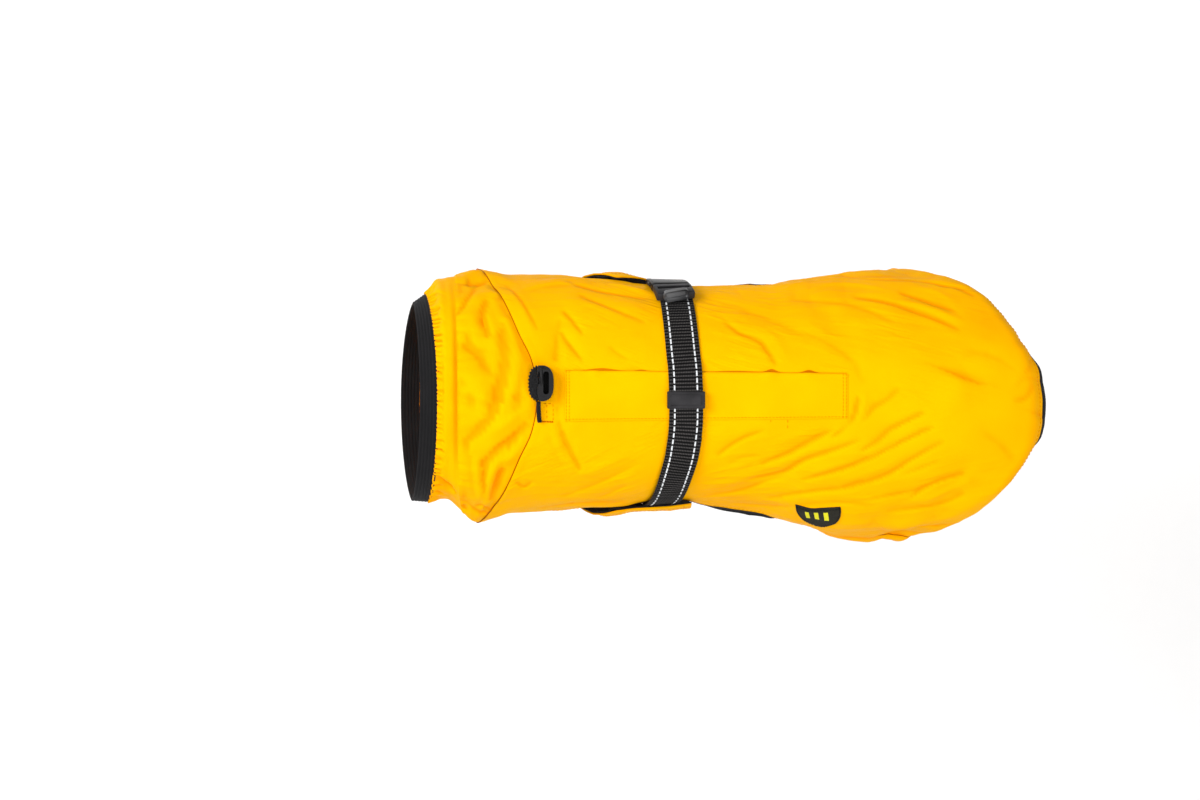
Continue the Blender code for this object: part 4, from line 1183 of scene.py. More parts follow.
RAISE_FADES, RAISE_EVEN = (12 * MM, 5 * MM), 3  # its lift fades between these distances from the panel's edge
SEAM_DEEP, SEAM_REACH = 0.6 * MM, 2.2 * MM  # how the collar sinks beside the back panel's edge
SEAM_SUNK = 0.5 * MM  # how far the collar is then let into the panel, so that no light comes through

# %% [markdown]
# Gathers are never even. Each has its own place, depth, width and length, taken from a seeded random run,
# and they sit a little askew. A narrow, deep trough between wider soft crowns is what a gathering thread
# makes.


# %% Gathers
def gathers(net, seed, period, depth, reach, slant):
    """Heights of gathers that run back from the first row of a closed net; their sizes are in millimetres."""
    dice = random.Random(seed)
    period, depth, reach = period * MM, depth * MM, reach * MM
    wide = net.round_length()
    distance = net.along[:, None]
    heights = np.zeros(net.shape)
    count = round(wide / period)
    for i in range(count):
        place = (i + dice.uniform(-0.38, 0.38)) * wide / count
        deep, thin = depth * dice.uniform(0.35, 1.25), period * dice.uniform(0.13, 0.26)
        long, lean = reach * dice.uniform(0.45, 1.4), slant + dice.uniform(-0.35, 0.35)
        aside = net.across[None, :] - place - lean * distance
        aside = (aside + wide / 2) % wide - wide / 2
        heights -= deep * bell(aside, thin * (1 + distance / long)) * bell(distance, long)
    return heights


def point_finder(points):
    """A tree that finds the nearest of some points."""
    finder = KDTree(len(points))
    for i, point in enumerate(points):
        finder.insert(point, i)
    finder.balance()
    return finder


def raised_to(net, edge, ups, wall):
    """The closed net raised so that it touches the underside of a panel's edge."""
    tree = net.tree()
    lifts = []
    for point, up in zip(edge, ups):
        under = Vector(point - up * wall)
        gap = under - tree.find_nearest(under)[0]
        lifts.append(gap if gap.dot(Vector(up)) > 0 else (0, 0, 0))
    lifts = smoothed(np.array(lifts), RAISE_EVEN)
    finder = point_finder(edge)
    _, nearest, away = zip(*(finder.find(point) for point in net.points.reshape(-1, 3)))
    share = smooth_step(np.array(away), *RAISE_FADES).reshape(net.shape)
    return net.moved(share, lifts[np.array(nearest)].reshape(net.points.shape))


collar_form = fine_net(read_grid("collar"), True, COLLAR_SPACING)
collar_normals = collar_form.normals()
collar_heights = COLLAR_LOOSE * crease_heights(collar_form, collar_normals, COLLAR_CREASES)
collar_heights += crinkled(collar_form, COLLAR_CRINKLES)
collar_fold_shade = fold_shade_share(collar_heights)
aside, run = np.meshgrid(collar_form.across, collar_form.along)
collar_heights += COLLAR_WRINKLE_HIGH * drawn_wrinkles(aside, run, *COLLAR_WRINKLES)
collar_heights += gathers(collar_form, *COLLAR_GATHERS) - FOLD_DEEP * bell(run, FOLD_REACH)
to_panels = collar_form.along[-1] - run
collar_heights *= 1 - band(to_panels, UNDER_PANEL, UNDER_PANEL_SOFT)
collar_heights -= SEAM_DEEP * bell(to_panels, SEAM_REACH)
collar_net = collar_form.moved(collar_heights, collar_normals)
collar_net = raised_to(collar_net, back_net.points[0], back_ups[0], CLOTH_WALL - SEAM_SUNK)
collar = cloth_piece("raincoat_collar", collar_net, yellow_cloth, CLOTH_WALL, collar_fold_shade)
finished(collar, "coated_cloth", "collar")

# %% [markdown]
# ## The neck elastic
#
# The elastic is a knitted band with fine ribs that run round the neck. Its mean form is straight from
# front to back at each place; half sines along it make the ribs, so their grooves are sharp and their
# crowns round.

# %% The neck elastic
ELASTIC_RIBS = 6
ELASTIC_RIB_HEIGHT = 0.55 * MM
ELASTIC_SPACING, ELASTIC_SPACING_ROUND = 0.45 * MM, 1.5 * MM
ELASTIC_WALL = 1.3 * MM
STRETCH_MARKS = 0.12 * MM

band_grid = read_grid("neck_band", 65)
straight = band_grid[0] + (band_grid[-1] - band_grid[0]) * np.linspace(0, 1, 3)[:, None, None]
elastic_net = fine_net(straight, True, ELASTIC_SPACING, (), ELASTIC_SPACING_ROUND)
rib = np.abs(np.sin(math.pi * ELASTIC_RIBS * elastic_net.along / elastic_net.along[-1]))[:, None]
stretch_marks = STRETCH_MARKS * np.sin(2 * math.pi * np.arange(elastic_net.shape[1]) / 2)[None, :]
elastic_net = elastic_net.moved(ELASTIC_RIB_HEIGHT * rib + stretch_marks, elastic_net.normals())
elastic_band = cloth_piece("raincoat_neck_elastic", elastic_net, elastic, ELASTIC_WALL)
finished(elastic_band, "black_cloth", "neck_band")

# %% [markdown]
# ## The gathered casing
#
# A straight strip is gathered onto the elastic that hugs the neck. At the elastic the cloth stands in
# many small folds, and towards the crease where the collar begins it blows up smooth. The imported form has
# a regular wave there; the mean of neighbouring points takes it out, and irregular gathers take its
# place. Both ends of the strip are bent onto the pieces that they are sewn to.

# %% The casing
CASING_SPACING = 0.8 * MM
CASING_WALL = 0.9 * MM
CASING_GATHERS = (
    # seed; period, depth and reach in mm; slant
    (8, 4.1, 2.3, 5, 0.55),
    (9, 13, 0.5, 12, 0.2),
)
CASING_CRINKLES = ((0.3, 14, 7),)
CASING_PUFF, PUFF_AT, PUFF_WIDE = 1.0 * MM, 4.5 * MM, 3.5 * MM
ONTO_COLLAR = (11 * MM, 0.3 * MM, 4)  # how far it is bent, how deep it goes in, how many moves a mean takes
ONTO_ELASTIC = (3.2 * MM, -0.5 * MM, 1)
ELASTIC_ROW = -4  # the row of the elastic that the casing is sewn to
CASING_CREASES = (
    ("top", (
        # width, height, lean, and the crease's points, x and y, in mm
        (2.2, -4.6, 0.0, (-116, -57), (-110, -63), (-105, -70)),
        (2.4, 1.2, 0.0, (-119, -50), (-113, -58), (-108, -64)),
    )),
)


def bent_onto(net, end, target, reach, clear, even):
    """The closed net, bent so that its row called end, 0 or -1, lies on a closed line of points."""
    finder = point_finder(target)
    near = [Vector(finder.find(point)[0]) for point in net.points[end]]
    moves = np.array([found - clear * out_of_body(found) for found in near]) - net.points[end]
    soft = sum(np.roll(moves, shift, axis=0) for shift in range(-even, even + 1)) / (2 * even + 1)
    share = smooth_step(np.abs(net.along[end] - net.along), reach, 0)[:, None] + np.zeros(net.shape)
    return net.moved(share, soft[None])


wavy_grid = read_grid("neck_casing", 70)
even_grid = (wavy_grid + np.roll(wavy_grid, 1, axis=1)) / 2
casing_form = fine_net(even_grid[:, ::2], True, CASING_SPACING)
casing_normals = casing_form.normals()
casing_heights = sum(gathers(casing_form, *row) for row in CASING_GATHERS)
casing_heights += crinkled(casing_form, CASING_CRINKLES)
before_collar = (casing_form.along[-1] - casing_form.along)[:, None]
casing_heights += CASING_PUFF * bell(before_collar - PUFF_AT, PUFF_WIDE)
casing_heights += crease_heights(casing_form, casing_normals, CASING_CREASES)
casing_net = casing_form.moved(casing_heights, casing_normals)
casing_net = bent_onto(casing_net, -1, collar_net.points[0], *ONTO_COLLAR)
casing_net = bent_onto(casing_net, 0, elastic_net.points[ELASTIC_ROW], *ONTO_ELASTIC)
casing_fold_shade = fold_shade_share(casing_heights, 2)
casing = cloth_piece("raincoat_neck_casing", casing_net, yellow_cloth, CASING_WALL, casing_fold_shade)
finished(casing, "coated_cloth", "neck_casing")

# %% [markdown]
# ## Under the body
#
# The belly panel starts at the chest, between the forelegs, and widens to two wings that the belt draws
# up the sides. Only the wings have the black lining. Both follow their packed forms, with creases that
# fan out from where the belt and the buckle pull.

# %% Belly panel and lining
BELLY_CREASES = (
    ("below", (
        # width, height, lean, and the crease's points, x and y, in mm
        (6.0, -1.6, 0.3, (-60, 18), (-26, 35), (10, 44)),
        (6.0, -1.6, 0.3, (-60, -16), (-28, -34), (8, -44)),
        (7.0, 1.2, 0.1, (-70, 4), (-35, 9), (0, 8)),
        (7.0, -1.4, 0.2, (8, 22), (35, 20), (60, 12)),
        (7.0, -1.4, 0.2, (0, -20), (28, -11), (58, -10)),
        (6.0, 1.3, 0.2, (20, 60), (36, 43), (56, 30)),
        (6.0, 1.3, 0.2, (22, -58), (38, -40), (58, -26)),
    )),
    ("right", (
        # width, height, lean, and the crease's points, x and z, in mm
        (5.0, -1.7, 0.3, (40, -70), (29, -89), (14, -104)),
        (5.0, 1.3, 0.2, (52, -74), (50, -92), (44, -110)),
        (5.5, 1.3, 0.2, (24, -66), (7, -81), (-14, -92)),
    )),
    ("left", (
        # width, height, lean, and the crease's points, x and z, in mm
        (5.0, -1.7, 0.3, (40, -72), (24, -86), (12, -104)),
        (5.0, 1.3, 0.2, (54, -78), (48, -95), (46, -112)),
        (5.5, 1.3, 0.2, (22, -66), (1, -77), (-16, -92)),
    )),
)
BELLY_FACING = 0.45
BELLY_CRINKLES = ((0.4, 22, 11), (0.1, 8, 12))
BELLY_SPACING, LINING_SPACING = 1.9 * MM, 2.0 * MM
LINING_WALL = 0.7 * MM


def belly_cloth(node, spacing):
    """A net under the body, with the heights of its creases and soft unevenness."""
    net = fine_net(read_grid(node, facing=BELLY_FACING), False, spacing)
    heights = crease_heights(net, net.normals(), BELLY_CREASES)
    return net, heights + crinkled(net, BELLY_CRINKLES)


belly_form, belly_heights = belly_cloth("belly_panel", BELLY_SPACING)
end, side, way = belly_form.edge_distances()
belly_normals = belly_form.normals()
belly_net = belly_form.moved(belly_heights + sewn_edge(np.minimum(end, side), way, 3), belly_normals)
belly = cloth_piece("raincoat_belly", belly_net, yellow_cloth, CLOTH_WALL)
finished(belly, "coated_cloth", "belly_panel")

lining_form, lining_heights = belly_cloth("belly_lining", LINING_SPACING)
lining_net = lining_form.moved(lining_heights, lining_form.normals())
lining = cloth_piece("raincoat_belly_lining", lining_net, lining_cloth, LINING_WALL)
finished(lining, "black_cloth", "belly_lining")

# %% [markdown]
# ## The harness flap
#
# A long strip lies on the spine and covers the slot for a lead ring. It is sewn down at both ends and
# along its lower long edge; the upper edge is open, rolled, and gapes a little in places. Its points are
# those of the finished back panel, moved out, so that it follows every crease under it.

# %% The flap
FLAP_WIDE = (35.5 * MM, 31.5 * MM)  # at the head end and at the tail end
FLAP_RAISE = 0.15 * MM
FLAP_WALL = 0.7 * MM
FLAP_SPACING = 1.0 * MM
FLAP_CRINKLES = ((0.12, 12, 14),)
FLAP_EDGE_ROUND, FLAP_EDGE_REACH = 0.35 * MM, 0.5 * MM
FLAP_ROLL, FLAP_ROLL_AT, FLAP_ROLL_WIDE = 0.4 * MM, 1.6 * MM, 1.3 * MM
GAPE_REACH = 5 * MM
FLAP_GAPES = (
    # x     length  height
    (-16, 5, 1.1),
    (-4, 4, 1.2),
    (24, 9, 1.3),
    (60, 8, 0.6),
    (119, 4.5, 1.4),
    (146, 5, 1.1),
)


def dropped(x, y):
    """The back panel's point at x and y, and the direction up out of it."""
    place, up, _, _ = back_tree.ray_cast(Vector((x, y, SIGHT)), DOWN)
    return place, up if up.z > 0 else -up


flap_low, flap_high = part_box("harness_flap")
flap_along = even_stops(flap_high[0] - flap_low[0], FLAP_SPACING, EDGE_LINES)
flap_across = even_stops(FLAP_WIDE[0], FLAP_SPACING, EDGE_LINES)
flap_points = []
for distance, half in zip(flap_along, np.interp(flap_along, (0, flap_along[-1]), FLAP_WIDE) / 2):
    for share in flap_across / FLAP_WIDE[0]:
        flap_points.append(dropped(flap_low[0] + distance, half * (1 - 2 * share)))
flap_shape = (len(flap_along), len(flap_across), 2, 3)
flap_points, flap_ups = np.moveaxis(np.array(flap_points).reshape(flap_shape), 2, 0)
flap_form = Net(flap_points, flap_across, flap_along)
end, side, _ = flap_form.edge_distances()
flap_heights = FLAP_RAISE + FLAP_WALL + crinkled(flap_form, FLAP_CRINKLES)
flap_heights -= FLAP_EDGE_ROUND * bell(np.minimum(end, side), FLAP_EDGE_REACH)
flap_heights += FLAP_ROLL * bell(flap_across - FLAP_ROLL_AT, FLAP_ROLL_WIDE)[None, :]
for x, long, height in FLAP_GAPES:
    here = bell(flap_low[0] + flap_along - x * MM, long * MM)[:, None]
    flap_heights += height * MM * here * bell(flap_across[None, :], GAPE_REACH)
flap_net = flap_form.moved(flap_heights, flap_ups)
flap = cloth_piece("raincoat_flap", flap_net, yellow_cloth, FLAP_WALL)
finished(flap, "coated_cloth", "harness_flap")

# %% [markdown]
# ## The belt
#
# The belt is one length of webbing, drawn tight over the flap. Its raised ribs run across it, so the net
# is made finer along the belt than across it, and a sine lifts each rib. At both edges the webbing is a
# little thinner.

# %% Belt and its return
RIB_HEIGHT = 0.24 * MM
ROW_HEIGHT, ROW_PERIOD = 0.1 * MM, 3.8 * MM
STRAP_SPACING = 1.5 * MM
STRAP_EDGE, STRAP_EDGE_REACH = 0.3 * MM, 0.7 * MM
BELT_WALL, RETURN_WALL = 1.3 * MM, 0.8 * MM


def strap(name, grid, finish, wall):
    """Webbing with ribs, whose UV map has its middle at 0."""
    net = fine_net(grid, False, RIB_PERIOD / 4, (), STRAP_SPACING)
    middle = net.across[-1] / 2
    _, side, _ = net.edge_distances()
    ribs = RIB_HEIGHT * np.sin(2 * math.pi * net.along / RIB_PERIOD)[:, None]
    rows = ROW_HEIGHT * np.cos(2 * math.pi * (net.across - middle) / ROW_PERIOD)[None, :]
    net = net.moved(ribs + rows - STRAP_EDGE * bell(side, STRAP_EDGE_REACH), net.normals())
    net.across = net.across - middle
    return cloth_piece(name, net, finish, wall)


belt = strap("raincoat_belt", belt_grid, webbing, BELT_WALL)
finished(belt, "webbing", "belt")
belt_return = strap("raincoat_belt_return", read_grid("belt_return", 50, "y"), plain_webbing, RETURN_WALL)
finished(belt_return, "webbing", "belt_return")

# %% [markdown]
# ## Moulded pieces
#
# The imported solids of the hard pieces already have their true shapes, but as loose triangles with sharp
# edges. A copy is merged and its flat faces are joined again; a narrow bevel then gives every edge the
# radius of a mould.


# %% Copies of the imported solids
JOINED = 0.01 * MM  # points nearer than this are one
FLAT_TURN, EDGE_TURN, SHARP_TURN = 1.0, 28, 32  # in degrees: faces joined, edges bevelled, shading broken
SHARP_ON_BLOCK = 35


def bevelled(made, width, segments, angle, harden=False):
    """Rounds all edges of a piece that turn more than angle degrees."""
    rounded = made.modifiers.new("rounded", "BEVEL")
    rounded.width = width
    rounded.segments = segments
    rounded.limit_method = "ANGLE"
    rounded.angle_limit = math.radians(angle)
    rounded.harden_normals = harden
    apply_modifiers(made)


def packed_copy(name, node, finish, bevel, segments=3):
    """A merged copy of a node's mesh with its flat faces joined and its edges bevelled."""
    made = new_piece(name, frame["nodes"][node].data.copy(), finish)
    bm = bmesh.new()
    bm.from_mesh(made.data)
    bmesh.ops.remove_doubles(bm, verts=bm.verts, dist=JOINED)
    bmesh.ops.dissolve_limit(bm, angle_limit=math.radians(FLAT_TURN), verts=bm.verts, edges=bm.edges)
    bm.to_mesh(made.data)
    bm.free()
    bevelled(made, bevel, segments, EDGE_TURN, True)
    smooth_shape(made, SHARP_TURN)
    return made


def boolean(made, other, operation):
    """Cuts another object out of a piece, or joins it on, and removes it."""
    cut = made.modifiers.new(operation.lower(), "BOOLEAN")
    cut.operation = operation
    cut.solver = "EXACT"
    cut.object = other
    apply_modifiers(made)
    bpy.data.objects.remove(other)


@contextmanager
def edit_mode(select_all=True):
    bpy.ops.object.mode_set(mode="EDIT")
    if select_all:
        bpy.ops.mesh.select_all(action="SELECT")
    yield
    bpy.ops.object.mode_set(mode="OBJECT")


def drawn_up(height):
    """In edit mode: makes a flat shape a block of this height, its faces looking out."""
    bpy.ops.mesh.extrude_region_move(TRANSFORM_OT_translate={"value": (0, 0, height)})
    bpy.ops.mesh.select_all(action="SELECT")
    bpy.ops.mesh.normals_make_consistent(inside=False)


def start_alone():
    bpy.ops.object.select_all(action="DESELECT")


def placed(made):
    """Puts an object's place, turn and scale into its mesh."""
    activate(made)
    bpy.ops.object.transform_apply(location=True, rotation=True, scale=True)
    return made


def rounded_block(place, size, radius):
    """A block with rounded edges, added at its size and place."""
    start_alone()
    bpy.ops.mesh.primitive_cube_add(size=1, location=place)
    made = bpy.context.object
    made.scale = size
    placed(made)
    with edit_mode():
        bpy.ops.mesh.bevel(offset=radius, segments=3, affect="EDGES")
    return made


PLATE_SIZE = (21 * MM, 7.2 * MM, 1.2 * MM)
PLATE_PROUD = 0.25 * MM

keeper = packed_copy("raincoat_keeper", "belt_keeper", grey_plastic, 0.35 * MM)
keeper_low, keeper_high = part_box("belt_keeper")
plate_place = [(low + high) / 2 for low, high in zip(keeper_low, keeper_high)]
plate_place[2] = keeper_high[2] + PLATE_PROUD - PLATE_SIZE[2] / 2
boolean(keeper, rounded_block(plate_place, PLATE_SIZE, 0.2 * MM), "UNION")
smooth_shape(keeper, SHARP_TURN)
finished(keeper, "black_plastic", "belt_keeper")
socket = packed_copy("raincoat_buckle_socket", "buckle_socket", black_plastic, 0.3 * MM)
finished(socket, "black_plastic", "buckle_socket")
prongs = packed_copy("raincoat_buckle_prongs", "buckle_prongs", grey_plastic, 0.3 * MM)
finished(prongs, "black_plastic", "buckle_prongs")
tab = packed_copy("raincoat_buckle_tab", "buckle_tab", plain_webbing, 0.2 * MM, 2)
finished(tab, "webbing", "buckle_tab")

# %% [markdown]
# The bar that the belt goes round has a flat, brushed face with one round end. It is a block with two of
# its corners rounded far more than the others, laid on the frame at the frame's own slope.

# %% The buckle's brushed face
FACE_FROM = Vector((46.4, 71.4)) * MM  # the ends of the face, seen from the top
FACE_TO = Vector((64.6, 72.0)) * MM
FACE_DEEP = 4.6 * MM  # how far apart the places are that give its slope
FACE_TALL = 7.6 * MM  # from the slot down to the belt
FACE_THICK = 0.7 * MM
FACE_LIFT = 0.75 * MM
FACE_ROUND = 0.42  # the radius of its round end, as a share of its height
FACE_EDGE = 0.25 * MM

frame_mesh = frame["nodes"]["buckle_prongs"].data
frame_tree = BVHTree.FromPolygons(
    [tuple(vert.co) for vert in frame_mesh.vertices], [tuple(face.vertices) for face in frame_mesh.polygons]
)
face_run = (FACE_TO - FACE_FROM).normalized()
face_down = Vector((face_run.y, -face_run.x))
face_corners = [
    seen_point(frame_tree, "top", *(end + face_down * aside))
    for end in (FACE_FROM, FACE_TO)
    for aside in (-FACE_DEEP / 2, FACE_DEEP / 2)
]
upper_from, lower_from, upper_to, lower_to = face_corners
face_x = (upper_to + lower_to - upper_from - lower_from).normalized()
face_z = face_x.cross(upper_from + upper_to - lower_from - lower_to).normalized()
face_y = face_z.cross(face_x)
face_middle = sum(face_corners, Vector()) / 4
face_long = (upper_to - upper_from).length
print("face", [round(v / MM, 1) for v in face_middle], round(face_long / MM, 1), round(FACE_TALL / MM, 1))

start_alone()
bpy.ops.mesh.primitive_plane_add(size=1)
bar_face = bpy.context.object
bar_face.name = "raincoat_buckle_face"
bar_face.scale = (face_long, FACE_TALL, 1)
placed(bar_face)
with edit_mode():
    drawn_up(FACE_THICK)
for edge in bar_face.data.edges:
    first, second = (bar_face.data.vertices[i].co for i in edge.vertices)
    edge.select = abs(first.z - second.z) > 0.1 * MM and first.x > 0
with edit_mode(select_all=False):
    bpy.ops.mesh.select_mode(type="EDGE")
    bpy.ops.mesh.bevel(offset=FACE_TALL * FACE_ROUND, segments=8, affect="EDGES")
    bpy.ops.mesh.select_mode(type="VERT")
bevelled(bar_face, FACE_EDGE, 3, 30)
for vert in bar_face.data.vertices:
    x, y, z = vert.co
    vert.co = face_middle + face_x * x + face_y * y + face_z * (z + FACE_LIFT)
smooth_shape(bar_face, SHARP_ON_BLOCK)
bar_face.data.materials.append(brushed)
finished(bar_face, "black_plastic")

# %% [markdown]
# ## The toggle on the drawcord
#
# The toggle has two moulded halves. The body has a long oval recess for a thumb and a ridge beside it;
# the slide, which is pressed to free the cord, has a serrated rim. Both start as one flat oval: a circle
# whose points are moved onto a squarish ellipse, bisected, given its wavy parting line, and extruded.

# %% The toggle's halves
LOCK_MIDDLE = Vector((-41.0, 8.8, 1.0)) * MM
LOCK_WIDE, LOCK_LONG, LOCK_THICK = 17.5 * MM, 25.0 * MM, 7.5 * MM
LOCK_SQUARE = 2.6  # 2 is an ellipse, more is squarer
LOCK_SIDES = 160
LOCK_PARTING = -2.4 * MM
PARTING_WAVE, PARTING_PERIOD = 0.6 * MM, 14 * MM
PARTING_GAP = 0.3 * MM
PARTING_CUTS = 28
TEETH, TOOTH_DEEP = 32, 0.05
LOCK_EDGE, LOCK_EDGE_TURN = 1.0 * MM, 60
SLIDE_LOWER = 0.7 * MM
RIDGE_PLACE, RIDGE_SIZE, RIDGE_SUNK = Vector((-40.7, 13.0, 0)) * MM, (1.25, 7.2, 1.2), 0.5 * MM
SCOOP_PLACE, SCOOP_SIZE = Vector((-42.4, 12.6, 0)) * MM, (0.9, 4.6, 1.6)
RECESS_PLACE = Vector((-37.5, 9.1, 0)) * MM
RECESS_RADIUS, RECESS_LONG, RECESS_DEEP = 2.0 * MM, 16.0 * MM, 5.0 * MM
SHADED_PAST, SHADED_FROM, SHADED_TO = 0.1 * MM, 0.6 * MM, 6 * MM
BEAD_SIZE, BEAD_SUNK = (0.9, 1.2, 0.7), 0.9 * MM
GRIP_BEADS = (
    # x     y
    (-46.3, 17.6),
    (-47.6, 13.5),
    (-46.0, 11.0),
    (-47.9, 7.4),
    (-46.2, 4.2),
    (-47.3, 0.9),
    (-45.6, -1.2),
)


def lock_half(name, hand, thick, teeth, finish):
    """The half of the toggle on one hand of the parting line, with its upper edge rounded."""
    start_alone()
    bpy.ops.mesh.primitive_circle_add(vertices=LOCK_SIDES, radius=1, fill_type="NGON")
    half = bpy.context.object
    half.name = name
    for vert in half.data.vertices:
        turn = math.atan2(vert.co.y, vert.co.x)
        powers = abs(math.cos(turn)) ** LOCK_SQUARE + abs(math.sin(turn)) ** LOCK_SQUARE
        size = powers ** (-1 / LOCK_SQUARE) / 2 * (1 + teeth * math.cos(turn * TEETH))
        vert.co = (math.cos(turn) * size * LOCK_WIDE, math.sin(turn) * size * LOCK_LONG, 0)
    parting = LOCK_PARTING + hand * PARTING_GAP / 2
    with edit_mode():
        bpy.ops.mesh.bisect(plane_co=(parting, 0, 0), plane_no=(hand, 0, 0), clear_inner=True)
        bpy.ops.mesh.subdivide(number_cuts=PARTING_CUTS)
    for vert in half.data.vertices:
        if abs(vert.co.x - parting) < JOINED:
            vert.co.x += PARTING_WAVE * math.cos(2 * math.pi * (vert.co.y / PARTING_PERIOD - 0.1))
    with edit_mode():
        drawn_up(thick)
    bevelled(half, LOCK_EDGE, 4, LOCK_EDGE_TURN)
    half.location = LOCK_MIDDLE
    placed(half)
    half.data.materials.clear()
    half.data.materials.append(finish)
    return half


def on_top(place, down=0.0):
    return place + Vector((0, 0, LOCK_MIDDLE.z + LOCK_THICK - down))


def long_ball(place, size):
    """A ball stretched to a lens or a bead of this size in millimetres."""
    start_alone()
    bpy.ops.mesh.primitive_uv_sphere_add(segments=24, ring_count=12, radius=1, location=place)
    made = bpy.context.object
    made.scale = Vector(size) * MM
    return placed(made)


def long_hole(place, radius, long, deep):
    """A cutter with two round ends: a cylinder whose ends are drawn apart."""
    start_alone()
    bpy.ops.mesh.primitive_cylinder_add(vertices=32, radius=radius, depth=2 * deep)
    made = bpy.context.object
    for vert in made.data.vertices:
        vert.co.y += math.copysign(long / 2 - radius, vert.co.y)
    made.location = place
    return placed(made)


lock_body = lock_half("raincoat_lock_body", 1, LOCK_THICK, 0.0, black_plastic)
boolean(lock_body, long_ball(on_top(RIDGE_PLACE, RIDGE_SUNK), RIDGE_SIZE), "UNION")
boolean(lock_body, long_ball(on_top(SCOOP_PLACE), SCOOP_SIZE), "DIFFERENCE")
recess = long_hole(on_top(RECESS_PLACE), RECESS_RADIUS, RECESS_LONG, RECESS_DEEP)
boolean(lock_body, recess, "DIFFERENCE")
smooth_shape(lock_body, SHARP_ON_BLOCK)
lock_body.data.materials.append(shaded_plastic)
# painted shade: the walls and the floor of the recess take the darker finish
for face in lock_body.data.polygons:  # the walls and the floor of the recess are in shade
    away = face.center - on_top(RECESS_PLACE)
    inside = abs(away.x) < RECESS_RADIUS + SHADED_PAST and abs(away.y) < RECESS_LONG / 2 + SHADED_PAST
    face.material_index = int(inside and -SHADED_TO < away.z < -SHADED_FROM)
finished(lock_body, "black_plastic", "cord_lock_body")

lock_slide = lock_half("raincoat_lock_slide", -1, LOCK_THICK - SLIDE_LOWER, TOOTH_DEEP, rough_plastic)
for x, y in GRIP_BEADS:
    boolean(lock_slide, long_ball(on_top(Vector((x, y, 0)) * MM, BEAD_SUNK), BEAD_SIZE), "UNION")
smooth_shape(lock_slide, SHARP_ON_BLOCK)
finished(lock_slide, "black_plastic", "cord_lock_slide")

# %% [markdown]
# ## The drawcord
#
# The elastic cord comes out of the toggle and dives into its slit in the back panel. It is held at both
# ends, so it keeps its route: a tube along a smooth curve through a few points, with the braid in its
# finish.

# %% The cord
CORD_ROUTE = (
    # x      y      z
    (-42.9, -4.1, 4.7),
    (-42.9, -8.0, 4.0),
    (-42.8, -12.0, 2.9),
    (-42.6, -15.4, 1.9),
    (-42.2, -18.2, 1.0),
)
CORD_RADIUS, CORD_SIDES, CORD_STEP = 1.6 * MM, 20, 0.5 * MM
BRAID_STRANDS, BRAID_PITCH, BRAID_DEEP = 6, 1.9 * MM, 0.05


def spokes(aside, up, sides):
    """For each point of a line, directions round it, and the turns they stand at."""
    turns = np.linspace(0, 2 * math.pi, sides, endpoint=False)
    cosines, sines = np.cos(turns)[None, :, None], np.sin(turns)[None, :, None]
    return cosines * aside[:, None] + sines * up[:, None], turns


def tube_net(route, radius, sides, spacing, away=(0, 0, 1)):
    """A net round a smooth curve through a route, which never runs in the direction called away."""
    dense = through(route, np.linspace(0, len(route) - 1, 10 * len(route)))
    lengths = run_lengths(dense)
    along = even_stops(lengths[-1], spacing)
    middle = places_at(along, lengths, dense)
    ahead = unit(np.gradient(middle, axis=0))
    aside = unit(np.cross(ahead, away))
    round_it, turns = spokes(aside, np.cross(aside, ahead), sides)
    return Net(middle[:, None] + radius * round_it, turns * radius, along, True)


cord_net = tube_net(np.array(CORD_ROUTE) * MM, CORD_RADIUS, CORD_SIDES, CORD_STEP)
turn = cord_net.across[None, :] * BRAID_STRANDS / CORD_RADIUS
climb = cord_net.along[:, None] * 2 * math.pi / BRAID_PITCH
braid = np.sin(turn + climb) * np.sin(turn - climb)
cord_middle = cord_net.points.mean(axis=1, keepdims=True)
cord_net.points = cord_middle + (cord_net.points - cord_middle) * (1 + BRAID_DEEP * braid[..., None])
cord = new_piece("raincoat_drawcord", cord_net.mesh("raincoat_drawcord"), cord_cloth)
finished(cord, "webbing", "drawcord")

# %% [markdown]
# ## The hem's binding
#
# Black tape is folded over the hem, from behind the shoulder round the tail to the other shoulder. Its
# route isn't drawn again: the finished panel's own edge is the route. At each point of it a folded
# section is laid, with an outer lip on the cloth, a round fold just past the edge, and an inner lip.

# %% Binding
BINDING_LIP = 3.4 * MM
BINDING_CLEAR = 0.28 * MM
TAPE_WALL = 0.4 * MM
CORNER_SKIP = 2
SECTION = (
    # up and past the edge, in mm
    (0.3, 1.6), (0.25, 2.8), (-0.1, 3.5), (-0.5, 3.8), (-0.9, 3.5), (-1.2, 2.8), (-1.3, 1.6),
)
LIP_RAILS = (BINDING_LIP, 2 * MM, 0.6 * MM)
BINDING_SPACING, BINDING_SPACING_ACROSS = 1.6 * MM, 0.7 * MM
SIDE_TURN, TAIL_TURN, LEFT_FLARE, RIGHT_FLARE = (math.radians(turn) for turn in (58, 12, 48, 28))
TURN_STARTS = (118 * MM, 160 * MM)
TAIL_BEFORE = (8 * MM, 1 * MM)  # the tail's turn begins so far before the hem's last point, and is full
WAIST, LEFT_WAIST, RIGHT_WAIST = 112 * MM, 34 * MM, 14 * MM

first_row = int(np.searchsorted(back_net.points[:, 0, 0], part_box("back_binding")[0][0]))


def hem_rail(lines, distance):
    """Values of the back panel's net inside its hem: down one side, round the tail, up the other."""
    sides = lines[first_row:len(lines) - CORNER_SKIP].swapaxes(0, 1)
    first = value_at(sides, back_net.across, distance)
    last = value_at(sides[::-1], (back_net.across[-1] - back_net.across)[::-1], distance)
    rows = lines[::-1, CORNER_SKIP:-CORNER_SKIP]
    tail = value_at(rows, (back_net.along[-1] - back_net.along)[::-1], distance)
    return np.concatenate([first, tail, last[::-1]])


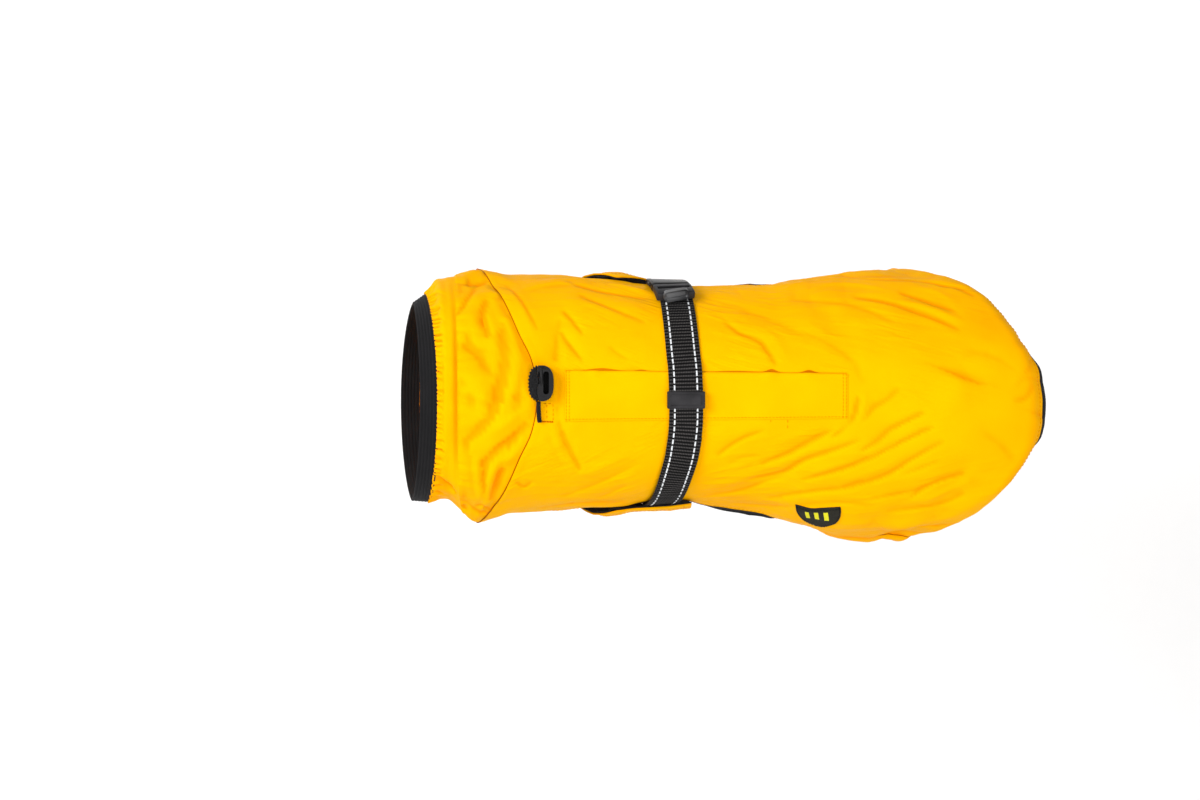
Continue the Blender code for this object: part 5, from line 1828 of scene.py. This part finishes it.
hem_edge = hem_rail(back_net.points, 0)
flat_up = unit(smoothed(hem_rail(back_normals, 0), 3))
flat_away = unit(smoothed(unit(hem_edge - hem_rail(back_net.points, 3 * MM)), 4))
x, y, _ = hem_edge.T
on_tail = smooth_step(x, *(x.max() - before for before in TAIL_BEFORE))
turn_in = smooth_step(x, *TURN_STARTS) * (SIDE_TURN * (1 - on_tail) + TAIL_TURN * on_tail)
left_waist = np.exp(-(((x - WAIST) / LEFT_WAIST) ** 4)) * (y < 0)
right_waist = np.exp(-(((x - WAIST) / RIGHT_WAIST) ** 4)) * (y > 0)
turn_in = (turn_in * (1 - left_waist) - LEFT_FLARE * left_waist - RIGHT_FLARE * right_waist)[:, None]
hem_up = np.cos(turn_in) * flat_up + np.sin(turn_in) * flat_away
hem_away = np.cos(turn_in) * flat_away - np.sin(turn_in) * flat_up


def lip(distances, height):
    """Rails on the cloth at distances inside the hem and at a height over it."""
    return [hem_rail(back_net.points, distance) + hem_up * height for distance in distances]


rails = lip(LIP_RAILS, BINDING_CLEAR)
rails += [hem_edge + hem_up * up * MM + hem_away * past * MM for up, past in SECTION]
rails += lip(LIP_RAILS[::-1], -CLOTH_WALL - BINDING_CLEAR)
binding_net = fine_net(np.stack(rails, axis=1), False, BINDING_SPACING, (), BINDING_SPACING_ACROSS)
binding = cloth_piece("raincoat_hem_binding", binding_net, tape, TAPE_WALL)
finished(binding, "black_cloth", "back_binding")

# %% [markdown]
# ## The seam at the shoulders, and a fold
#
# Where the back panel's front edge is sewn to the collar, the cloth is drawn in and the seam shows as one
# thin dark line: the shade between two folds. That shade is painted as a fine dark orange tube that follows
# the panel's front edge. On the left flank the hem's folded edge shows as such a line of shade too, painted
# the same way; its ends sink into the cloth.

# %% Seam line and hem fold
SEAM_RADIUS = 0.38 * MM
SEAM_LIFT = 0.15 * MM
FOLD_RADIUS = 0.32 * MM
THREAD_SIDES, THREAD_STEP = 6, 1.2 * MM
FOLD_SINK = 0.7 * MM

fold_found = [back_tree.find_nearest(Vector(point)) for point in hem_fold[::3]]
fold_sink = FOLD_SINK * np.abs(np.linspace(-1, 1, len(fold_found))) ** 3
fold_route = [
    place - normal * (sink * np.sign(normal.dot(out_of_body(place))))
    for (place, normal, _, _), sink in zip(fold_found, fold_sink)
]
fold_tube = tube_net(np.array(fold_route), FOLD_RADIUS, THREAD_SIDES, THREAD_STEP)
finished(new_piece("raincoat_hem_fold_shade", fold_tube.mesh("raincoat_hem_fold_shade"), seam_thread), "coated_cloth")
seam_route = back_net.points[0, 1:-1] + back_ups[0, 1:-1] * SEAM_LIFT
seam_tube = tube_net(seam_route, SEAM_RADIUS, THREAD_SIDES, THREAD_STEP, (1, 0, 0))
finished(new_piece("raincoat_seam_shade", seam_tube.mesh("raincoat_seam_shade"), seam_thread), "coated_cloth")


# %% [markdown]
# ## Stitches
#
# Each stitch is a small bead of thread that dips into the cloth at both ends. A line is given as points
# and the directions out of the cloth; beads are set along it at an even pitch. All beads of a kind are
# one mesh, and each has only a few dozen faces, because there are hundreds.

# %% A line of stitches
STITCH_PITCH = 3.0 * MM
STITCH_LONG = 2.2 * MM
STITCH_RADIUS = 0.24 * MM
STITCH_RINGS = (
    # place along half of it, share of its radius, depth in radii
    (-1.0, 0.25, -1.2),
    (-0.7, 1.0, 0.0),
    (0.7, 1.0, 0.0),
    (1.0, 0.25, -1.2),
)
STITCH_SIDES = 6
BEAD_POINTS = len(STITCH_RINGS) * STITCH_SIDES


def stitch_places(points, ups, pitch):
    """The middles of stitches along a line, the directions out of the cloth, and those along the line."""
    lengths = run_lengths(points)
    count = max(1, int(lengths[-1] / pitch))
    stops = (np.arange(count) + 0.5) * lengths[-1] / count
    before, middle, after = (places_at(stops + step, lengths, points) for step in (-0.5 * MM, 0, 0.5 * MM))
    return middle, places_at(stops, lengths, ups), after - before


def stitches(name, lines, finish, slot, pitch=STITCH_PITCH, long=STITCH_LONG, radius=STITCH_RADIUS):
    """One mesh of thread beads along lines, each of them points and directions out of the cloth."""
    places = zip(*(stitch_places(*line, pitch) for line in lines))
    middle, up, ahead = (np.concatenate(part) for part in places)
    ahead = unit(ahead)
    aside = unit(np.cross(ahead, up))
    up = np.cross(aside, ahead)
    round_it, turns = spokes(aside, up, STITCH_SIDES)
    rings = []
    for place, wide, deep in STITCH_RINGS:
        centre = middle + ahead * place * long / 2 + up * (deep * radius)
        rings.append(centre[:, None] + round_it * wide * radius)
    sides = range(STITCH_SIDES)
    bead_faces = [
        (start + j, start + j + STITCH_SIDES, start + after + STITCH_SIDES, start + after)
        for start in range(0, BEAD_POINTS - STITCH_SIDES, STITCH_SIDES)
        for j, after in zip(sides, (*sides[1:], 0))
    ]
    bead_faces += [tuple(sides), tuple(BEAD_POINTS - 1 - j for j in sides)]
    firsts = range(0, len(middle) * BEAD_POINTS, BEAD_POINTS)
    faces = [[corner + first for corner in face] for first in firsts for face in bead_faces]
    mesh = bpy.data.meshes.new(name)
    mesh.from_pydata(np.stack(rings, axis=1).reshape(-1, 3).tolist(), [], faces)
    layer = mesh.uv_layers.new(name="UVMap")
    for loop, spot in zip(mesh.loops, layer.data):
        ring, side = divmod(loop.vertex_index % BEAD_POINTS, STITCH_SIDES)
        spot.uv = (turns[side] * radius, STITCH_RINGS[ring][0] * long / 2)
    mesh.shade_smooth()
    print(name, len(middle), "stitches")
    finished(new_piece(name, mesh, finish), slot)


def lifted(points, ups, lift):
    """A line for stitches that lies a little above the cloth."""
    return points + ups * lift, ups


def seen_line(tree, places, lift):
    """A line on a form through places seen from the top, in mm, a little above it, and its directions up."""
    points = line_on(tree, "top", places)
    ups = np.array([tree.find_nearest(Vector(point))[1] for point in points])
    return lifted(points, ups * np.sign(ups[:, 2:]), lift)


# %% [markdown]
# The back panel is stitched all round its hem. The flap has two rows of stitches at each end and one
# along its lower edge, and its upper edge is open. Small bars hold the flap's loop and the slit where the
# drawcord goes in.

# %% Stitches on the cloth pieces
HEM_STITCHES = 5.8 * MM
STITCH_LIFT = 0.12 * MM
FLAP_THREAD = (2.4 * MM, 1.8 * MM, 0.2 * MM)  # pitch, length, radius
FLAP_ROWS = (1.2 * MM, 3.3 * MM)
FLAP_LOWER = 1.6 * MM
TACKS = (
    # two places on the back, seen from the top, in mm
    ((119.7, -15.6), (119.7, -19.4)),
    ((131.6, -15.6), (131.6, -23.6)),
    ((-32.9, -5.2), (-32.9, -17.6)),
    ((-37.2, -5.2), (-37.2, -16.6)),
    ((-40.2, -5.4), (-33.4, -5.4)),
)


def sewn_rows(net, ups, distances):
    """Lines for stitches along a net's rows; distances under 0 are from its last row."""
    lines = []
    for distance in distances:
        stop = distance if distance > 0 else net.along[-1] + distance
        points, out = (value_at(values, net.along, stop) for values in (net.points, ups))
        lines.append(lifted(points, out, STITCH_LIFT))
    return lines


hem_line = lifted(hem_rail(back_net.points, HEM_STITCHES), hem_rail(back_ups, HEM_STITCHES), STITCH_LIFT)
tack_lines = [seen_line(back_tree, tack, STITCH_LIFT) for tack in TACKS]
stitches("raincoat_back_stitches", [hem_line, *tack_lines], yellow_thread, "coated_cloth")

flap_normals = flap_net.normals()
flap_lines = sewn_rows(flap_net, flap_normals, (*FLAP_ROWS, *(-row for row in FLAP_ROWS)))
flap_lines += sewn_rows(flap_net.turned(), flap_normals.swapaxes(0, 1), (-FLAP_LOWER,))
stitches("raincoat_flap_stitches", flap_lines, yellow_thread, "coated_cloth", *FLAP_THREAD)

belly_lines = sewn_rows(belly_net, belly_normals, (HEM_STITCHES, -HEM_STITCHES))
belly_lines += sewn_rows(belly_net.turned(), belly_normals.swapaxes(0, 1), (HEM_STITCHES, -HEM_STITCHES))
stitches("raincoat_belly_stitches", belly_lines, yellow_thread, "coated_cloth")

tape_line = lifted(binding_net.points[:, 2], binding_net.normals()[:, 2], STITCH_LIFT)
stitches("raincoat_tape_stitches", [tape_line], black_thread, "black_cloth")

# %% [markdown]
# The drawcord's slit is marked with a dense bar of thread beads in a deep orange, which paints the shade
# inside the slit. The slot under the flap's open edge shows as a dark orange line of shade that widens where
# the edge gapes: a strip on the back panel, tucked under the flap, whose colours are painted shade.

# %% The slit and the slot
SLIT = ((-41.0, -17.9), (-32.8, -18.1))
SLIT_LIFT, SLIT_THREAD = 0.1 * MM, (1.1 * MM, 1.0 * MM, 0.6 * MM)
SLOT_LINE = 0.35 * MM  # how much of the slot shows where the edge is closed
SLOT_GAPES = (
    # x     half length  width
    (1.5, 10.0, 1.7),
    (29.0, 4.0, 0.9),
    (98.0, 16.0, 0.7),
    (120.5, 4.0, 2.2),
    (146.5, 4.5, 1.9),
)
SLOT_UNDER = 1.6 * MM
SLOT_LIFT = 0.2 * MM
SLOT_COLUMNS, SLOT_UV_WIDE = 6, 3 * MM
SLOT_SHADE, SLOT_SHADE_DEEP = (0.66, 0.2, 0.0), (0.5, 0.12, 0.0)

slit_line = seen_line(back_tree, SLIT, SLIT_LIFT)
stitches("raincoat_slit_shade", [slit_line], slit_thread, "coated_cloth", *SLIT_THREAD)

slot_x = flap_along[2:-2] + flap_low[0]
slot_wide = np.full(len(slot_x), SLOT_LINE)
for x, long, wide in SLOT_GAPES:
    slot_wide += wide * MM * bell(slot_x - x * MM, long * MM)
slot_edge = np.interp(slot_x - flap_low[0], (0, flap_along[-1]), FLAP_WIDE) / 2
slot_shares = np.linspace(1, 0, SLOT_COLUMNS)
slot_points = []
for x, edge, wide in zip(slot_x, slot_edge, slot_wide):
    for share in slot_shares:
        place, up = dropped(x, edge - SLOT_UNDER + share * (SLOT_UNDER + wide))
        slot_points.append(place + up * SLOT_LIFT)
slot_points = np.array(slot_points).reshape(len(slot_x), len(slot_shares), 3)
slot_net = Net(slot_points, slot_shares * SLOT_UV_WIDE, slot_x - slot_x[0])
# painted shade: the strip's colours stand for the shade in the open slot under the flap
slot_cloth = coated_cloth("slot_shade", SLOT_SHADE, SLOT_SHADE_DEEP)
finished(new_piece("raincoat_flap_slot_shade", slot_net.mesh("raincoat_flap_slot_shade"), slot_cloth), "coated_cloth")

# %% [markdown]
# ## The badge
#
# A half-round badge is sewn to the left flank, straight edge up. It is plain: a black ground with three
# yellow bars. It is laid out flat as rows of points that end on the half circle, and each point then goes
# to the same distances on the back panel's net, a little way out, so the badge bends with the cloth.

# %% The badge
BADGE_RADIUS = 17.9 * MM
BADGE_STRETCH = 1.22  # how much deeper it is than a half circle
BADGE_MIDDLE = (154.0, -80.8)  # on its straight edge, seen from the top, in mm
BADGE_RAISE = 0.75 * MM
BADGE_WALL = 0.6 * MM
BADGE_ROWS, BADGE_COLUMNS, BADGE_END = 19, 33, 87  # its rows end at so many degrees of the half circle
BADGE_WEAVE, BADGE_WEAVE_DEEP = 0.5 * MM, 0.05 * MM
BADGE_BLACK, BADGE_BLACK_WORN, BADGE_YELLOW = (0.012, 0.011, 0.008), (0.03, 0.028, 0.02), (0.78, 0.72, 0.02)
BADGE_THREAD = (2.2 * MM, 1.7 * MM)
RIM_LIFT = 0.1 * MM
TRY_STEP = 5 * MM
BAR_STEP, BAR_WIDE, BAR_FROM, BAR_TO = 7.0 * MM, 3.2 * MM, 3.2 * MM, 10.2 * MM


def badge_finish(name):
    """Black cloth with three bars, on a UV map of distances from the middle of the straight edge."""
    cloth = Finish(name, 0.7, specular=0.15)
    across, down, _ = cloth.uv_parts()
    object_place = cloth.place()
    aside = cloth.math("ABSOLUTE", across)
    apart = cloth.math("PINGPONG", aside, BAR_STEP / 2)
    in_bar = cloth.math("LESS_THAN", apart, BAR_WIDE / 2)
    in_three = cloth.math("LESS_THAN", aside, 1.4 * BAR_STEP)
    tall = cloth.times(cloth.math("GREATER_THAN", down, BAR_FROM), cloth.math("LESS_THAN", down, BAR_TO))
    bars = cloth.times(cloth.times(in_bar, in_three), tall)
    ground = cloth.blend(cloth.cloud(object_place, 500), BADGE_BLACK, BADGE_BLACK_WORN)
    cloth.colour(bars, ground, BADGE_YELLOW)
    return cloth.bump(cloth.checks(across, BADGE_WEAVE, down, BADGE_WEAVE), BADGE_WEAVE_DEEP)


def on_back(values, across, along):
    """Values of the back panel's net at distances across and along it."""
    return value_at(value_at(values, back_net.along, along), back_net.across, across)


badge_start = np.array(seen_point(back_tree, "top", *(value * MM for value in BADGE_MIDDLE)))
nearest = int(np.argmin(np.linalg.norm(back_net.points.reshape(-1, 3) - badge_start, axis=1)))
badge_row, badge_column = divmod(nearest, back_net.shape[1])
down_hand = 1 if badge_column > back_net.shape[1] / 2 else -1


def badge_place(u, v):
    """Distances across and along the back panel, for distances along and down from the badge's middle."""
    return back_net.across[badge_column] + down_hand * v, back_net.along[badge_row] + u


corner, along_it, down_it = (
    on_back(back_net.points, *badge_place(*step)) for step in ((0, 0), (TRY_STEP, 0), (0, TRY_STEP))
)
badge_turn = math.atan(-(along_it - corner)[1] / (down_it - corner)[1])  # its straight edge lies along x
print("badge turned", round(math.degrees(badge_turn)), "degrees")
cos_turn, sin_turn = math.cos(badge_turn), math.sin(badge_turn)
badge_flat = np.array([
    [(share * math.sqrt(BADGE_RADIUS**2 - v**2), v) for share in np.linspace(-1, 1, BADGE_COLUMNS)]
    for v in np.sin(np.radians(np.linspace(0, BADGE_END, BADGE_ROWS))) * BADGE_RADIUS
])
badge_points, badge_ups = [], []
for u, v in badge_flat.reshape(-1, 2):
    deep = v * BADGE_STRETCH
    place = badge_place(cos_turn * u - sin_turn * deep, sin_turn * u + cos_turn * deep)
    badge_points.append(on_back(back_net.points, *place))
    badge_ups.append(on_back(back_ups, *place))
badge_ups = unit(np.array(badge_ups)).reshape(BADGE_ROWS, BADGE_COLUMNS, 3)
badge_points = np.array(badge_points).reshape(badge_ups.shape) + badge_ups * BADGE_RAISE
badge_net = Net(badge_points, np.arange(BADGE_COLUMNS), np.arange(BADGE_ROWS))
badge = cloth_piece("raincoat_badge", badge_net, badge_finish("badge"), BADGE_WALL, uv=badge_flat)
finished(badge, "black_cloth")


def badge_rim(values):
    """The values one point inside the badge's edge, all round."""
    return np.concatenate([values[:, 1], values[-2, 1:-1], values[::-1, -2], values[1, ::-1]])


rim_line = lifted(badge_rim(badge_points), badge_rim(badge_ups), RIM_LIFT)
stitches("raincoat_badge_stitches", [rim_line], black_thread, "black_cloth", *BADGE_THREAD)
